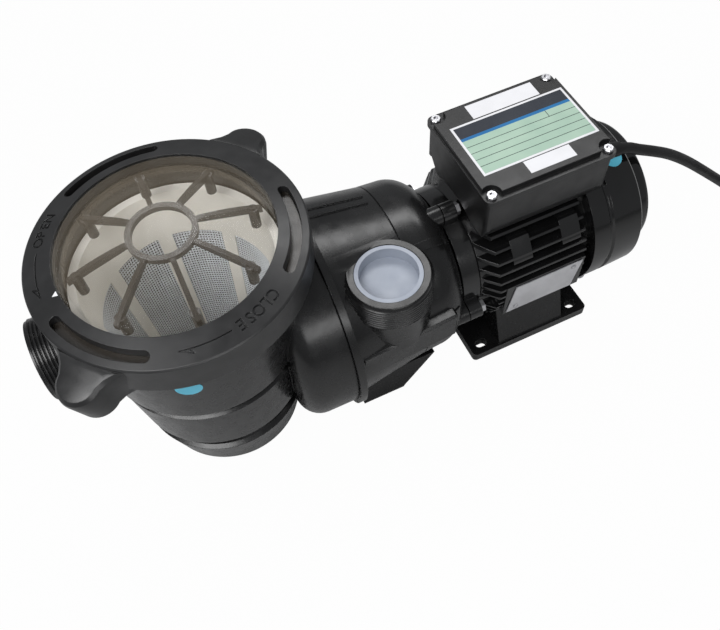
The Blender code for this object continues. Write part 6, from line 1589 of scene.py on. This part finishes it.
def seen_white(tree, share):
    """How much of a ray sees plain white: rays from the camera, and those that pass through something."""
    light = tree.nodes.new("ShaderNodeLightPath")
    either = tree.nodes.new("ShaderNodeMath")
    either.operation = "MAXIMUM"
    tree.links.new(light.outputs["Is Camera Ray"], either.inputs[0])
    tree.links.new(light.outputs["Is Transmission Ray"], either.inputs[1])
    scaled = tree.nodes.new("ShaderNodeMath")
    scaled.operation = "MULTIPLY"
    scaled.inputs[1].default_value = share
    tree.links.new(either.outputs[0], scaled.inputs[0])
    return scaled.outputs[0]


def make_studio():
    scene = bpy.context.scene
    scene.view_settings.view_transform = "Standard"
    world = bpy.data.worlds.new("studio")
    scene.world = world
    world.use_nodes = True
    tree = world.node_tree
    tree.nodes.clear()
    dim = tree.nodes.new("ShaderNodeBackground")
    dim.inputs["Color"].default_value = (0.95, 0.97, 1.0, 1)
    dim.inputs["Strength"].default_value = AMBIENT
    white = tree.nodes.new("ShaderNodeBackground")
    white.inputs["Color"].default_value = (1, 1, 1, 1)
    white.inputs["Strength"].default_value = 1.0
    mix = tree.nodes.new("ShaderNodeMixShader")
    out = tree.nodes.new("ShaderNodeOutputWorld")
    tree.links.new(seen_white(tree, 1.0), mix.inputs[0])
    tree.links.new(dim.outputs[0], mix.inputs[1])
    tree.links.new(white.outputs[0], mix.inputs[2])
    tree.links.new(mix.outputs[0], out.inputs[0])
    floor_mesh = bmesh.new()
    bmesh.ops.create_grid(floor_mesh, x_segments=8, y_segments=8, size=FLOOR_HALF)
    floor = piece("floor", floor_mesh, at(0, 0, -FLOOR_DROP))
    made, tree, shader = nodes_of("floor_white")
    tones = ramp(tree, noise(tree, 3), (0.50, 0.50, 0.50), (0.54, 0.54, 0.54))
    tree.links.new(tones, shader.inputs["Base Color"])
    shader.inputs["Roughness"].default_value = 0.9
    glow = tree.nodes.new("ShaderNodeEmission")
    glow.inputs["Color"].default_value = (1, 1, 1, 1)
    glow.inputs["Strength"].default_value = 1.0
    blend = tree.nodes.new("ShaderNodeMixShader")
    tree.links.new(seen_white(tree, FLOOR_WHITE), blend.inputs[0])
    tree.links.new(shader.outputs[0], blend.inputs[1])
    tree.links.new(glow.outputs[0], blend.inputs[2])
    tree.links.new(blend.outputs[0], tree.nodes["Material Output"].inputs["Surface"])
    floor.data.materials.append(made)


def make_lamp(name, place, target, size, power):
    data = bpy.data.lights.new(name, "AREA")
    data.shape = "RECTANGLE"
    data.size = size[0]
    data.size_y = size[1]
    data.energy = power
    lamp = bpy.data.objects.new(name, data)
    bpy.context.scene.collection.objects.link(lamp)
    lamp.location = place
    lamp.rotation_euler = (Vector(target) - Vector(place)).to_track_quat("-Z", "Y").to_euler()


def make_lamps():
    for lamp in LAMPS:
        make_lamp(*lamp)


def make_camera():
    data = bpy.data.cameras.new("photo_camera")
    data.sensor_width = SENSOR_W
    data.lens = CAMERA_LENS
    data.clip_start = 0.01
    camera = bpy.data.objects.new("photo_camera", data)
    bpy.context.scene.collection.objects.link(camera)
    turn = Matrix((CAMERA_RIGHT, -CAMERA_DOWN, -CAMERA_FORWARD)).transposed()
    camera.matrix_world = Matrix.Translation(CAMERA_PLACE) @ turn.to_4x4()
    bpy.context.scene.camera = camera


make_camera()
FINISH = make_finishes()
finish_solids()
make_cord()
make_studio()
make_lamps()
make_ring()
make_lid()
make_basket()
make_mouldings()
make_labels()
make_dots()

bpy.context.view_layer.update()
